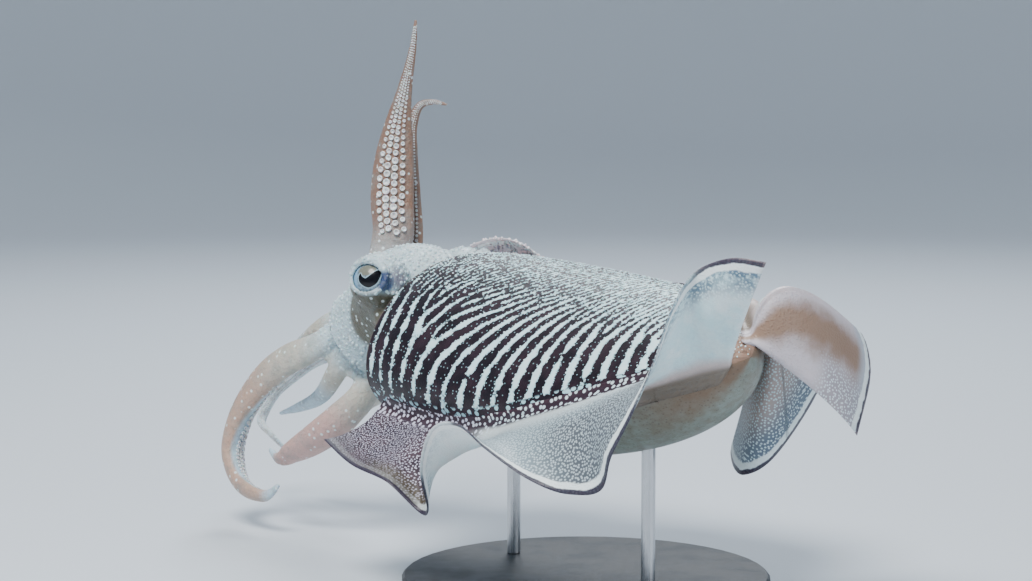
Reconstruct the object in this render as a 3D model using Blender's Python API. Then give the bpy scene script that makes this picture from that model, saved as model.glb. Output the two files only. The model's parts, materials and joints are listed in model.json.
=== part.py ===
"""Common cuttlefish: a life-size still model held by a plain display stand.

Metres, +Z up.  The head points to -X and the left side faces -Y.  The origin is the
centre of the base's underside.  The body hangs in the water as the animal swims:
banked to its left, tail a little high, two arms raised and the fins in full wave.
"""
import math
import random

import bmesh
import bpy
import numpy as np
from mathutils import Matrix, Vector

MM = 0.001
GAP = 0.3 * MM

# Body: the mantle's frame, from the centre of its front opening
MANTLE_LENGTH = 210 * MM
FRONT = np.array((-105, 0, 105)) * MM
PITCH = math.radians(2.5)
BANK = math.radians(29)
AFT = np.array((math.cos(PITCH), 0, math.sin(PITCH)))
LEVEL_UP = np.array((-math.sin(PITCH), 0, math.cos(PITCH)))
LEVEL_LEFT = np.array((0, -1, 0))
LEFT = LEVEL_LEFT * math.cos(BANK) - LEVEL_UP * math.sin(BANK)
UP = LEVEL_UP * math.cos(BANK) + LEVEL_LEFT * math.sin(BANK)

# Mantle sections
HALF_WIDTH = 53 * MM
BACK_DEPTH = 31 * MM
BELLY_DEPTH = 41 * MM
SAG = 6 * MM
MANTLE_RINGS = 26
MANTLE_SIDES = 32
RIM_WALL = 3 * MM
RIM_TONGUE = 4 * MM
POCKET_DEPTH = 14 * MM

# Neck and funnel, where they meet the floor of the mantle's front pocket
NECK_RISE = 5.5 * MM
NECK_SIZE = (33 * MM, 18.5 * MM)
FUNNEL_DROP = 22.5 * MM
FUNNEL_SIZE = (15 * MM, 6.5 * MM)
FUNNEL_LENGTH = 40 * MM
FUNNEL_MOUTH = 6 * MM
FUNNEL_BORE = 3.5 * MM

# Head sections in mm and degrees: ahead of FRONT, above it, bank, nose-down pitch,
# half width, height above and depth below the section's centre
HEAD_SECTIONS = (
    (-6, 5.5, 28, -1, 33, 18.5, 20),
    (3, 6, 25, 3, 32, 17.5, 21),
    (12, 10.5, 17, 9, 31.5, 22, 23),
    (22, 15, 9, 18, 30.5, 24, 25.5),
    (33, 11, 6, 27, 28, 22.5, 26),
    (44, 3, 5, 34, 26, 22.5, 24.5),
)
CROWN = np.array((-160, -2, 98)) * MM
CROWN_PITCH = math.radians(37)
CROWN_RADIUS = 24.5 * MM
HEAD_SIDES = 24

# Eyes: the bulge, the ball sunk in it and the lid round the opening
EYE_BULGE_CENTRE = np.array((-123, 24, 127)) * MM
EYE_BULGE_RADIUS = 14 * MM
EYE_RADIUS = 10 * MM
EYE_OFFSET = 5 * MM
EYE_AIM = np.array((0.42, 0.86, 0.28))
LID_RADIUS = 8.8 * MM
LID_THICKNESS = 1.5 * MM
UPPER_LID_EXTRA = 0.9 * MM

# Mouth: the round lip in the middle of the arms
MOUTH_RADIUS = 8.5 * MM
MOUTH_HEIGHT = 7 * MM

# Fins, stations in mm along the body's own axes: share of the mantle's length, then
# the margin's place from the root aft, out and up, and the lift with which it leaves
LEFT_FIN = (
    (0.03, 3, 36, -1, -2),
    (0.11, 12, 41, -5, 0),
    (0.20, 18, 41, -9, 2),
    (0.30, 19, 41, -21, 3),
    (0.35, 21, 42, 3, -5),
    (0.41, 21, 36, 21, -4),
    (0.47, 23, 33, 23, -1),
    (0.53, 25, 36, 13, 4),
    (0.60, 28, 38, 0, 5),
    (0.68, 29, 37, -10, 5),
    (0.74, 31, 35, -10, 3),
    (0.785, 32, 35, 3, 1),
    (0.84, 31, 30, 16, 0),
    (0.89, 28, 20, 31, 0),
    (0.925, 27, 8, 48, 4),
    (0.955, 21, -5, 51, 8),
    (0.97, 33, -5, 53, 8),
    (0.985, 41, -6, 48, 4),
)
RIGHT_FIN = (
    (0.03, -31, 0, 8, 4),
    (0.047, -42, 1, 13, 5),
    (0.068, -25, -2, 20, 4),
    (0.09, -10, -5, 23, 2),
    (0.11, -4, -5, 20, 0),
    (0.13, -4, -2, 12, -5),
    (0.15, -3, 5, -3, -12),
    (0.18, 2, 15, -20, -19),
    (0.23, 8, 19, -31, -22),
    (0.32, 9, 23, -35, -22),
    (0.44, 10, 28, -31, -20),
    (0.54, 10, 29, -30, -20),
    (0.64, 7, 24, -37, -20),
    (0.74, -4, 6, -46, -18),
    (0.80, -18, -6, -53, -14),
    (0.845, -31, -15, -61, -15),
    (0.885, -15, -26, -60, -10),
    (0.915, -10, -12, -57, 0),
    (0.94, -14, 18, -50, 15),
    (0.957, -10, 41, -36, 20),
    (0.968, 2, 47, -27, 23),
    (0.978, 6, 42, -40, 8),
    (0.99, 17, 15, -51, -42),
)
FIN_THICKNESS = ((0.0, 4.5), (0.34, 2.0), (1.0, 0.8))
FIN_ROWS = 6
FIN_BEND = 0.42
FIN_STEP = 0.006
FIN_SPLITS = (0.36, 0.70)
FIN_ENDS_GAP = 0.28 * MM

# Where the fins leave the flank: share of the mantle's length, degrees above its side
FIN_ROOT_LINE = ((0.0, -11), (0.15, -11), (0.32, -10), (0.5, -4), (0.65, 6), (0.8, 19),
                 (0.88, 24), (1.0, 25))

# Arms, left and right, from the back round to the belly.  Each has its way in mm, its
# half width at the root, at its broadest, where its whip begins and at its tip, where it
# is broadest as a share of its length, and the way its suckers face towards the tip
ARM_RING = 17 * MM
ARM_WHIP = 0.79
ARM_LEAD = 7 * MM
ARM_SIDES = 10
ARM_FLATNESS = 0.74
ARM_ORAL_FLATNESS = 0.59
ARM_LONG = 150 * MM
ARM_ENDS_GAP = 0.33 * MM
ARM_STEP = 7 * MM
ARMS = {
    "arm_left_1": (((-184, -13, 102), (-207, -16, 87), (-230, -19, 70), (-248, -18, 59),
                    (-262, -12, 49)), (6.2, 5.6, 3.0, 1.0), 0.25, (0.2, 0.5, -0.85)),
    "arm_left_2": (((-180, -24, 91), (-197, -29, 83), (-217, -33, 68), (-228, -37, 51),
                    (-230, -40, 35), (-221, -42, 23), (-206, -43, 18.5), (-194, -42, 19),
                    (-187, -41, 24)), (6.3, 9.0, 5.7, 1.6), 0.45, (0.75, 0.6, 0.25)),
    "arm_left_3": (((-168, -19, 80), (-189, -14, 66), (-218, -9, 56), (-240, -6, 50)),
                   (6.0, 4.6, 2.6, 1.0), 0.3, (0.1, 0.6, 0.8)),
    "arm_left_4": (((-153, -12, 73), (-162, -20, 59), (-177, -25, 47.5), (-193, -28, 39),
                    (-205, -29, 34), (-212, -29, 37)), (6.2, 8.2, 5.6, 1.6), 0.5,
                   (-0.3, 0.75, 0.55)),
    "arm_right_1": (((-177, 7, 109), (-184, 14, 116), (-188, 23, 128), (-190, 29, 142),
                     (-195, 32, 159), (-196, 34, 178), (-193, 35, 198), (-187, 35, 216),
                     (-181, 35, 233), (-178, 35, 247)), (5.8, 10.4, 3.8, 0.9), 0.55,
                    (0.5, -0.86, 0.0)),
    "arm_right_2": (((-171, 17, 100), (-181, 26, 105), (-189, 36, 119), (-194, 43, 138),
                     (-201, 47.5, 160), (-205, 50, 181), (-206, 52, 196), (-202, 54, 205),
                     (-194, 56, 207), (-185, 58, 206)), (6.0, 6.2, 3.2, 0.8), 0.35,
                    (0.6, -0.7, 0.3)),
    "arm_right_3": (((-170, 16, 84), (-195, 13, 83), (-221, 10, 81), (-250, 9, 68),
                     (-271, 6, 51), (-275, 4, 41), (-263, 2, 36), (-247, 1, 30)),
                    (6.0, 5.2, 2.8, 1.0), 0.25, (0.6, -0.5, -0.3)),
    "arm_right_4": (((-160, 7, 74), (-185, 10, 62), (-212, 12, 48), (-237, 13, 36),
                     (-250, 13, 31)), (6.2, 6.6, 4.0, 1.2), 0.4, (-0.3, -0.5, 0.8)),
}

# Suckers in two rows along each arm
SUCKER_SIDES = 6
SUCKER_SHARE = 0.27
SUCKER_HEIGHT = 0.75
SUCKER_ROOT = (0.8, 0.9)
SUCKER_HOLLOW = 0.15
SUCKER_ROW = 0.44
SUCKER_LEAN = 0.25
SUCKER_SPACING = 3.1
SUCKER_PITCH_LEAST = 5.6 * MM
SUCKER_LEAST = 0.8 * MM
SUCKER_START = 9 * MM
SUCKER_SEED = 11

# Stand
BASE_RADIUS = 80 * MM
BASE_THICKNESS = 9 * MM
BASE_BEVEL = 1.2 * MM
ROD_RADIUS = 3 * MM
ROD_STATIONS = {"stand_rod_front": -52 * MM, "stand_rod_rear": 42 * MM}
ROD_SIDES = 16
SOCKET_DEPTH = 6 * MM


def clear_scene():
    for item in list(bpy.data.objects):
        bpy.data.objects.remove(item, do_unlink=True)


def material(name, colour, roughness, metallic=0.0):
    made = bpy.data.materials.new(name)
    made.use_nodes = True
    shader = made.node_tree.nodes["Principled BSDF"]
    shader.inputs["Base Color"].default_value = (*colour, 1.0)
    shader.inputs["Roughness"].default_value = roughness
    shader.inputs["Metallic"].default_value = metallic
    return made


def add_object(name, mesh, look=None):
    item = bpy.data.objects.new(name, mesh)
    bpy.context.scene.collection.objects.link(item)
    if look is not None:
        mesh.materials.clear()
        mesh.materials.append(look)
        mesh.shade_smooth()
    return item


def mesh_from(name, points, faces):
    mesh = bpy.data.meshes.new(name)
    mesh.from_pydata([tuple(point) for point in points], [], faces)
    mesh.update()
    return mesh


def unit(vector):
    return vector / np.linalg.norm(vector)


def smooth_curve(knots, values, where):
    """Cubic curve through the values at the knots, with Catmull-Rom slopes."""
    knots = np.asarray(knots, float)
    values = np.asarray(values, float)
    slopes = np.gradient(values, knots, axis=0)
    where = np.clip(where, knots[0], knots[-1])
    index = np.clip(np.searchsorted(knots, where, side="right") - 1, 0, len(knots) - 2)
    span = knots[index + 1] - knots[index]
    share = (where - knots[index]) / span
    shape = (-1,) + (1,) * (values.ndim - 1)
    share = share.reshape(shape)
    span = span.reshape(shape)
    before = values[index] * (2 * share ** 3 - 3 * share ** 2 + 1)
    after = values[index + 1] * (3 * share ** 2 - 2 * share ** 3)
    rise = slopes[index] * span * (share ** 3 - 2 * share ** 2 + share)
    fall = slopes[index + 1] * span * (share ** 3 - share ** 2)
    return before + after + rise + fall


def half_width(station):
    tail = np.clip((station - 0.26) / 0.74, 0, 1)
    front = np.clip((0.26 - station) / 0.26, 0, 1)
    return HALF_WIDTH * (1 - tail ** 2.2) ** 0.6 * (1 - 0.08 * front ** 2)


def back_depth(station):
    tail = np.clip((station - 0.05) / 0.95, 0, 1)
    front = np.clip((0.12 - station) / 0.12, 0, 1)
    return BACK_DEPTH * np.sqrt(1 - tail ** 1.25) * (1 - 0.06 * front ** 2)


def belly_depth(station):
    tail = np.clip((station - 0.3) / 0.7, 0, 1)
    front = np.clip((0.3 - station) / 0.3, 0, 1)
    return BELLY_DEPTH * (1 - tail ** 3.4) ** 0.58 * (1 - 0.10 * front ** 2)


def body_centre(station):
    station = np.asarray(station, float)
    along = (MANTLE_LENGTH * station)[..., None] * AFT
    return FRONT + along - (SAG * np.sin(math.pi * station))[..., None] * UP


def mantle_point(station, angle, inset=0.0):
    """Point on the mantle; angle 0 is the left side, a quarter turn is the back."""
    station, angle = np.broadcast_arrays(np.asarray(station, float), angle)
    depth = np.where(np.sin(angle) >= 0, back_depth(station), belly_depth(station))
    across = (half_width(station) - inset) * np.cos(angle)
    rise = (depth - inset) * np.sin(angle)
    return body_centre(station) + across[..., None] * LEFT + rise[..., None] * UP


def ring_stations():
    """Stations of the mantle's rings, closer together towards the tail."""
    turn = np.linspace(0, math.pi / 2, MANTLE_RINGS + 1)
    return np.sin(turn)


def loft(rings, start_cap=True, end_cap=True):
    """Points and triangles through closed rings, with flat fans as caps."""
    sides = len(rings[0])
    points = [point for ring in rings for point in ring]
    faces = []
    for k in range(len(rings) - 1):
        for i in range(sides):
            j = (i + 1) % sides
            low, high = k * sides, (k + 1) * sides
            faces.append((low + i, low + j, high + j))
            faces.append((low + i, high + j, high + i))
    if start_cap:
        points.append(np.mean(rings[0], axis=0))
        faces += [(len(points) - 1, (i + 1) % sides, i) for i in range(sides)]
    if end_cap:
        points.append(np.mean(rings[-1], axis=0))
        base = (len(rings) - 1) * sides
        faces += [(len(points) - 1, base + i, base + (i + 1) % sides) for i in range(sides)]
    return points, faces


def face_outwards(mesh):
    body = bmesh.new()
    body.from_mesh(mesh)
    bmesh.ops.recalc_face_normals(body, faces=body.faces)
    if body.calc_volume(signed=True) < 0:
        bmesh.ops.reverse_faces(body, faces=body.faces)
    body.to_mesh(mesh)
    body.free()


def keep_largest(mesh):
    """Keep only the closed surface with the most faces."""
    body = bmesh.new()
    body.from_mesh(mesh)
    unseen = set(body.faces)
    shells = []
    while unseen:
        stack = [unseen.pop()]
        shell = list(stack)
        while stack:
            face = stack.pop()
            for edge in face.edges:
                for other in edge.link_faces:
                    if other in unseen:
                        unseen.remove(other)
                        shell.append(other)
                        stack.append(other)
        shells.append(shell)
    shells.sort(key=len)
    scraps = [face for shell in shells[:-1] for face in shell]
    if scraps:
        bmesh.ops.delete(body, geom=scraps, context="FACES")
    body.to_mesh(mesh)
    body.free()


def combine(item, operands, operation):
    """Join or cut an object with closed pieces in one Boolean, then remove them."""
    group = bpy.data.collections.new(item.name + "_pieces")
    for piece in operands:
        for home in list(piece.users_collection):
            home.objects.unlink(piece)
        group.objects.link(piece)
    bpy.context.scene.collection.children.link(group)
    step = item.modifiers.new("combine", "BOOLEAN")
    step.operation = operation
    step.operand_type = "COLLECTION"
    step.collection = group
    step.solver = "EXACT"
    graph = bpy.context.evaluated_depsgraph_get()
    mesh = bpy.data.meshes.new_from_object(item.evaluated_get(graph))
    item.modifiers.clear()
    item.data = mesh
    for piece in list(group.objects):
        bpy.data.objects.remove(piece, do_unlink=True)
    bpy.data.collections.remove(group)
    keep_largest(item.data)


def cylinder(name, radius, low, high, sides):
    """Upright closed cylinder between two points on one vertical line."""
    body = bmesh.new()
    height = high[2] - low[2]
    place = Matrix.Translation(Vector((low[0], low[1], (low[2] + high[2]) / 2)))
    bmesh.ops.create_cone(body, cap_ends=True, segments=sides, radius1=radius,
                          radius2=radius, depth=height, matrix=place)
    mesh = bpy.data.meshes.new(name)
    body.to_mesh(mesh)
    body.free()
    return add_object(name, mesh)


def ball(name, centre, radius, across=16, around=20):
    body = bmesh.new()
    bmesh.ops.create_uvsphere(body, u_segments=around, v_segments=across, radius=radius,
                              matrix=Matrix.Translation(Vector(centre)))
    bmesh.ops.triangulate(body, faces=body.faces)
    mesh = bpy.data.meshes.new(name)
    body.to_mesh(mesh)
    body.free()
    return add_object(name, mesh)


def rim_shift(station, angles):
    """How far the mantle's edge reaches forward over the neck, at its back."""
    fade = max(0.0, 1 - station / 0.10) ** 2
    return -RIM_TONGUE * fade * np.clip(np.sin(angles), 0, 1)[:, None] ** 3 * AFT


def pocket_plane(gap=0.0):
    """Centre of the pocket's floor, or of a face that keeps a gap to it."""
    return body_centre(POCKET_DEPTH / MANTLE_LENGTH) - gap * AFT


def build_mantle(look):
    angles = np.linspace(0, 2 * math.pi, MANTLE_SIDES, endpoint=False)
    floor = POCKET_DEPTH / MANTLE_LENGTH
    rings = [mantle_point(floor, angles, 1.5 * RIM_WALL)]
    rings.append(mantle_point(0.0, angles, RIM_WALL) + rim_shift(0.0, angles))
    for station in ring_stations()[:-1]:
        rings.append(mantle_point(station, angles) + rim_shift(station, angles))
    points, faces = loft(rings, True, False)
    points.append(mantle_point(1.0, 0.0))
    base = (len(rings) - 1) * MANTLE_SIDES
    for i in range(MANTLE_SIDES):
        faces.append((len(points) - 1, base + i, base + (i + 1) % MANTLE_SIDES))
    item = add_object("mantle", mesh_from("mantle", points, faces), look)
    face_outwards(item.data)
    return item


def belly_height(x):
    """Height of the mantle's underside on the row's centre line at this x."""
    station = (x - FRONT[0]) / (MANTLE_LENGTH * AFT[0])
    angles = np.linspace(math.pi, 2 * math.pi, 721)
    under = mantle_point(station, angles)
    return float(np.interp(0.0, under[::-1, 1], under[::-1, 2]))


def cut_sockets(mantle):
    """Blind holes in the belly that take the rods."""
    cutters = []
    for name, x in ROD_STATIONS.items():
        top = belly_height(x) + SOCKET_DEPTH
        low = (x, 0, top - 4 * SOCKET_DEPTH)
        cutters.append(cylinder(name + "_socket", ROD_RADIUS + GAP, low, (x, 0, top), ROD_SIDES))
    combine(mantle, cutters, "DIFFERENCE")


def build_stand(metal, board):
    body = bmesh.new()
    middle = Matrix.Translation((0, 0, BASE_THICKNESS / 2))
    bmesh.ops.create_cone(body, cap_ends=True, segments=48, radius1=BASE_RADIUS,
                          radius2=BASE_RADIUS, depth=BASE_THICKNESS, matrix=middle)
    rim = [edge for edge in body.edges if abs(edge.verts[0].co.z - edge.verts[1].co.z) < GAP]
    bmesh.ops.bevel(body, geom=rim, offset=BASE_BEVEL, segments=1, affect="EDGES")
    mesh = bpy.data.meshes.new("stand_base")
    body.to_mesh(mesh)
    body.free()
    base = add_object("stand_base", mesh, board)
    base.data.set_sharp_from_angle(angle=math.radians(30))
    for name, x in ROD_STATIONS.items():
        top = belly_height(x) + SOCKET_DEPTH - GAP
        rod = cylinder(name, ROD_RADIUS, (x, 0, BASE_THICKNESS + GAP), (x, 0, top), ROD_SIDES)
        rod.data.materials.append(metal)
        rod.data.shade_smooth()
        rod.data.set_sharp_from_angle(angle=math.radians(40))


def section_frame(bank, pitch):
    """Left and up directions of a head section, banked and pitched nose down."""
    left = np.array((0, -1, 0))
    rise = np.array((-math.sin(pitch), 0, math.cos(pitch)))
    turned_left = left * math.cos(bank) - rise * math.sin(bank)
    turned_up = rise * math.cos(bank) + left * math.sin(bank)
    return turned_left, turned_up


def oval(centre, left, rise, width, above, below, sides):
    angles = np.linspace(0, 2 * math.pi, sides, endpoint=False)
    depth = np.where(np.sin(angles) >= 0, above, below)
    across = (width * np.cos(angles))[:, None] * left
    return centre + across + (depth * np.sin(angles))[:, None] * rise


def crown_frame():
    """Forward, left and up directions of the flat face that carries the arms."""
    forward = np.array((-math.cos(CROWN_PITCH), 0, -math.sin(CROWN_PITCH)))
    left = np.array((0, -1.0, 0))
    rise = np.cross(left, forward)
    return forward, left, rise if rise[2] > 0 else -rise


def head_rings():
    """Smooth rings from the neck in the mantle's pocket to the flat crown."""
    floor = pocket_plane(GAP)
    knots = [oval(floor + NECK_RISE * UP, LEFT, UP, *NECK_SIZE, NECK_SIZE[1], HEAD_SIDES)]
    for ahead, above, bank, pitch, width, high, low in HEAD_SECTIONS:
        centre = FRONT + np.array((-ahead, 0, above)) * MM
        left, rise = section_frame(math.radians(bank), math.radians(pitch))
        knots.append(oval(centre, left, rise, width * MM, high * MM, low * MM, HEAD_SIDES))
    forward, left, rise = crown_frame()
    knots.append(oval(CROWN, left, rise, CROWN_RADIUS, CROWN_RADIUS, CROWN_RADIUS, HEAD_SIDES))
    where = np.linspace(0, len(knots) - 1, 2 * len(knots) - 1)
    return list(smooth_curve(np.arange(len(knots)), np.array(knots), where))


def eye_parts(side):
    """Centre and aim of an eye's bulge; side is 1 on the left and -1 on the right."""
    flip = np.array((1, -side, 1))
    return EYE_BULGE_CENTRE * flip, unit(EYE_AIM) * flip


def lid_ring(name, centre, aim):
    """Ring of lid round the eye's opening, heavier above than below."""
    across = unit(np.cross(aim, (0, 0, 1)))
    rise = np.cross(across, aim)
    rings = []
    for turn in np.linspace(0, 2 * math.pi, 16, endpoint=False):
        outward = across * math.cos(turn) + rise * math.sin(turn)
        thick = LID_THICKNESS + UPPER_LID_EXTRA * max(0.0, math.sin(turn))
        middle = centre + outward * LID_RADIUS
        round_ring = []
        for angle in np.linspace(0, 2 * math.pi, 5, endpoint=False):
            round_ring.append(middle + thick * (outward * math.cos(angle) + aim * math.sin(angle)))
        rings.append(round_ring)
    sides = len(rings[0])
    points = [point for ring in rings for point in ring]
    faces = []
    for k in range(len(rings)):
        low, high = k * sides, ((k + 1) % len(rings)) * sides
        for i in range(sides):
            j = (i + 1) % sides
            faces.append((low + i, low + j, high + j))
            faces.append((low + i, high + j, high + i))
    item = add_object(name, mesh_from(name, points, faces))
    face_outwards(item.data)
    return item


def build_head(skin, eye_look):
    points, faces = loft(head_rings())
    item = add_object("head", mesh_from("head", points, faces), skin)
    face_outwards(item.data)
    bulges = []
    sockets = []
    for side, word in ((1, "left"), (-1, "right")):
        centre, aim = eye_parts(side)
        bulges.append(ball("bulge_" + word, centre, EYE_BULGE_RADIUS, 8, 12))
        opening = centre + aim * (EYE_BULGE_RADIUS - 2 * MM)
        bulges.append(lid_ring("lid_" + word, opening, aim))
        ball_centre = centre + aim * EYE_OFFSET
        sockets.append(ball("socket_" + word, ball_centre, EYE_RADIUS + GAP, 8, 14))
        eye = ball("eye_" + word, ball_centre, EYE_RADIUS, 8, 14)
        eye.data.materials.append(eye_look)
        eye.data.shade_smooth()
    combine(item, bulges, "UNION")
    combine(item, sockets, "DIFFERENCE")


def build_funnel(look):
    start = pocket_plane(GAP) - FUNNEL_DROP * UP
    out = -AFT - 0.25 * UP
    rings = []
    for share in (0, 0.2, 0.45, 0.7, 0.9, 1.0):
        bend = share ** 2 * 0.5
        centre = start + FUNNEL_LENGTH * share * unit(-AFT * (1 - bend) + out * bend)
        width = FUNNEL_SIZE[0] + (FUNNEL_MOUTH - FUNNEL_SIZE[0]) * share
        depth = FUNNEL_SIZE[1] + (FUNNEL_MOUTH - FUNNEL_SIZE[1]) * share
        rings.append(oval(centre, LEFT, UP, width, depth, depth, 16))
    mouth = np.mean(rings[-1], axis=0)
    rings.append(oval(mouth, LEFT, UP, FUNNEL_BORE, FUNNEL_BORE, FUNNEL_BORE, 16))
    deep = mouth + 12 * MM * AFT
    rings.append(oval(deep, LEFT, UP, FUNNEL_BORE * 0.8, FUNNEL_BORE * 0.8, FUNNEL_BORE * 0.8, 16))
    points, faces = loft(rings)
    item = add_object("funnel", mesh_from("funnel", points, faces), look)
    face_outwards(item.data)


def build_mouth(look):
    """Low round lip with a sunk middle, in the centre of the arms."""
    forward, left, rise = crown_frame()
    profile = ((1.0, 0.0), (1.0, 0.35), (0.86, 0.8), (0.62, 1.0), (0.4, 0.85), (0.22, 0.5))
    rings = []
    for share, height in profile:
        centre = CROWN + (GAP + MOUTH_HEIGHT * height) * forward
        radius = MOUTH_RADIUS * share
        rings.append(oval(centre, left, rise, radius, radius, radius, 16))
    points, faces = loft(rings)
    item = add_object("mouth", mesh_from("mouth", points, faces), look)
    face_outwards(item.data)


def fin_stations(low, high):
    """Columns of a fin between two stations: the mantle's rings and their midpoints."""
    rings = ring_stations()
    middles = (rings[1:] + rings[:-1]) / 2
    inner = np.sort(np.concatenate((rings, middles)))
    inner = inner[(inner > low + 0.004) & (inner < high - 0.004)]
    return np.concatenate(([low], inner, [high]))


def fin_root(side, stations, turn=0.0):
    """Root line of a fin on the flank, or a line turned up the flank from it."""
    stations = np.clip(stations, 0, 1)
    knots, degrees = np.transpose(FIN_ROOT_LINE)
    rise = np.radians(smooth_curve(knots, degrees, stations)) + turn
    return mantle_point(stations, rise if side > 0 else math.pi - rise)


def fin_root_frame(side, stations):
    """Directions at a fin's root: up the flank and square out of it."""
    step = 0.001
    along = fin_root(side, stations + step) - fin_root(side, stations - step)
    flank = fin_root(side, stations, step) - fin_root(side, stations, -step)
    flank /= np.linalg.norm(flank, axis=1)[:, None]
    outward = np.cross(along, flank) * side
    return flank, outward / np.linalg.norm(outward, axis=1)[:, None]


def fin_surface(table, side, stations):
    """Middle surface of a fin as a grid of columns by rows."""
    table = np.array(table)
    way = smooth_curve(table[:, 0], table[:, 1:], stations) * MM
    outward = fin_root_frame(side, stations)[1]
    root = fin_root(side, stations) + GAP * 1.1 * outward
    level = mantle_point(np.clip(stations, 0, 1), 0.0 if side > 0 else math.pi)
    margin = level + way[:, :1] * AFT + way[:, 1:2] * LEFT * side + way[:, 2:3] * UP
    reach = np.linalg.norm(margin - root, axis=1)[:, None]
    bend = root + FIN_BEND * reach * outward + way[:, 3:4] * UP
    shares = np.linspace(0, 1, FIN_ROWS + 1)
    grid = [root * (1 - q) ** 2 + bend * 2 * q * (1 - q) + margin * q ** 2 for q in shares]
    return np.stack(grid, axis=1)


def fin_normals(table, side, stations, grid):
    """Directions square to a fin's middle surface, on the side of the back."""
    ahead = fin_surface(table, side, stations + FIN_STEP)
    behind = fin_surface(table, side, stations - FIN_STEP)
    normals = np.cross(ahead - behind, np.gradient(grid, axis=1))
    normals /= np.linalg.norm(normals, axis=2)[:, :, None]
    normals = normals * np.sign((normals[:, 1] @ UP).mean())
    normals[:, 0] = fin_root_frame(side, stations)[0]
    return normals


def build_fin(name, table, side, low, high, look):
    """One length of a fin: a thin closed sheet, split alike on both faces."""
    stations = fin_stations(low, high)
    grid = fin_surface(table, side, stations)
    normals = fin_normals(table, side, stations, grid)
    shares, thickness = np.transpose(FIN_THICKNESS)
    half = np.interp(np.linspace(0, 1, FIN_ROWS + 1), shares, thickness) * MM / 2
    top = grid + normals * half[None, :, None]
    bottom = grid - normals * half[None, :, None]
    columns, rows = grid.shape[:2]
    points = list(top.reshape(-1, 3)) + list(bottom.reshape(-1, 3))
    under = columns * rows

    def at(i, j):
        return i * rows + j

    faces = []
    for i in range(columns - 1):
        for j in range(rows - 1):
            a, b, c, d = at(i, j), at(i + 1, j), at(i + 1, j + 1), at(i, j + 1)
            faces += [(a, b, c), (a, c, d)]
            faces += [(under + a, under + c, under + b), (under + a, under + d, under + c)]
    rim = [(at(i, 0), at(i + 1, 0)) for i in range(columns - 1)]
    rim += [(at(columns - 1, j), at(columns - 1, j + 1)) for j in range(rows - 1)]
    rim += [(at(i + 1, rows - 1), at(i, rows - 1)) for i in range(columns - 1)]
    rim += [(at(0, j + 1), at(0, j)) for j in range(rows - 1)]
    for a, b in rim:
        faces += [(a, under + a, under + b), (a, under + b, b)]
    item = add_object(name, mesh_from(name, points, faces), look)
    face_outwards(item.data)


def build_fins(look):
    split_gap = FIN_ENDS_GAP / MANTLE_LENGTH
    for side, word, table in ((1, "left", LEFT_FIN), (-1, "right", RIGHT_FIN)):
        ends = (table[0][0], *FIN_SPLITS, table[-1][0])
        for k, part in enumerate(("front", "middle", "rear")):
            low = ends[k] + (split_gap if k else 0)
            high = ends[k + 1] - (split_gap if k < 2 else 0)
            build_fin("fin_%s_%s" % (word, part), table, side, low, high, look)


def arm_root(name):
    """Root centre and outward direction of an arm on the crown, by its number."""
    forward, left, rise = crown_frame()
    side = 1 if "left" in name else -1
    angle = math.radians(22.5 + 45 * (int(name[-1]) - 1))
    outward = math.cos(angle) * rise + math.sin(angle) * side * left
    return CROWN + ARM_RING * outward + GAP * forward, outward


def arm_line(name, way):
    """Evenly spaced points from the crown to the arm's tip."""
    forward = crown_frame()[0]
    root, outward = arm_root(name)
    knots = np.vstack([root, root + ARM_LEAD * 0.5 * forward, np.array(way) * MM])
    steps = np.concatenate(([0], np.cumsum(np.linalg.norm(np.diff(knots, axis=0), axis=1))))
    dense = smooth_curve(steps, knots, np.linspace(0, steps[-1], 400))
    run = np.concatenate(([0], np.cumsum(np.linalg.norm(np.diff(dense, axis=0), axis=1))))
    count = int(round(run[-1] / ARM_STEP))
    places = np.linspace(0, run[-1], count + 1)
    line = np.stack([np.interp(places, run, dense[:, k]) for k in range(3)], axis=1)
    return line, places / run[-1], run[-1]


def arm_half_width(share, sizes, broadest):
    """Half width along an arm: root, broadest place, start of the whip, then the tip."""
    knots = (0, broadest, ARM_WHIP, 1)
    return smooth_curve(knots, sizes, np.atleast_1d(share)) * MM


def arm_frames(name, line, facing):
    """Forward, sideways and sucker-side directions at each point of an arm."""
    outward = arm_root(name)[1]
    forward = np.gradient(line, axis=0)
    forward[0] = crown_frame()[0]
    forward /= np.linalg.norm(forward, axis=1)[:, None]
    oral = []
    for k, tangent in enumerate(forward):
        share = min(1.0, 1.6 * k / (len(line) - 1))
        wish = -outward * (1 - share) + unit(np.array(facing)) * share
        wish = wish - tangent * (wish @ tangent)
        oral.append(unit(wish))
    oral = np.array(oral)
    return forward, np.cross(forward, oral), oral


def arm_ring(centre, side, oral, width):
    angles = np.linspace(0, 2 * math.pi, ARM_SIDES, endpoint=False)
    depth = np.where(np.sin(angles) >= 0, ARM_ORAL_FLATNESS, ARM_FLATNESS) * width
    across = (width * np.cos(angles))[:, None] * side
    return centre + across + (depth * np.sin(angles))[:, None] * oral


def sucker(name, centre, axis, side, radius):
    """Short cup with a hollow face; its root reaches into the arm."""
    front = np.cross(axis, side)
    rings = []
    for share, height in ((SUCKER_ROOT[0], -SUCKER_ROOT[1]), (1.0, SUCKER_HEIGHT)):
        ring = []
        for angle in np.linspace(0, 2 * math.pi, SUCKER_SIDES, endpoint=False):
            spoke = side * math.cos(angle) + front * math.sin(angle)
            ring.append(centre + radius * share * spoke + radius * height * axis)
        rings.append(ring)
    points, faces = loft(rings)
    points[-1] = centre + radius * SUCKER_HOLLOW * axis
    item = add_object(name, mesh_from(name, points, faces))
    face_outwards(item.data)
    return item


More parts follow.
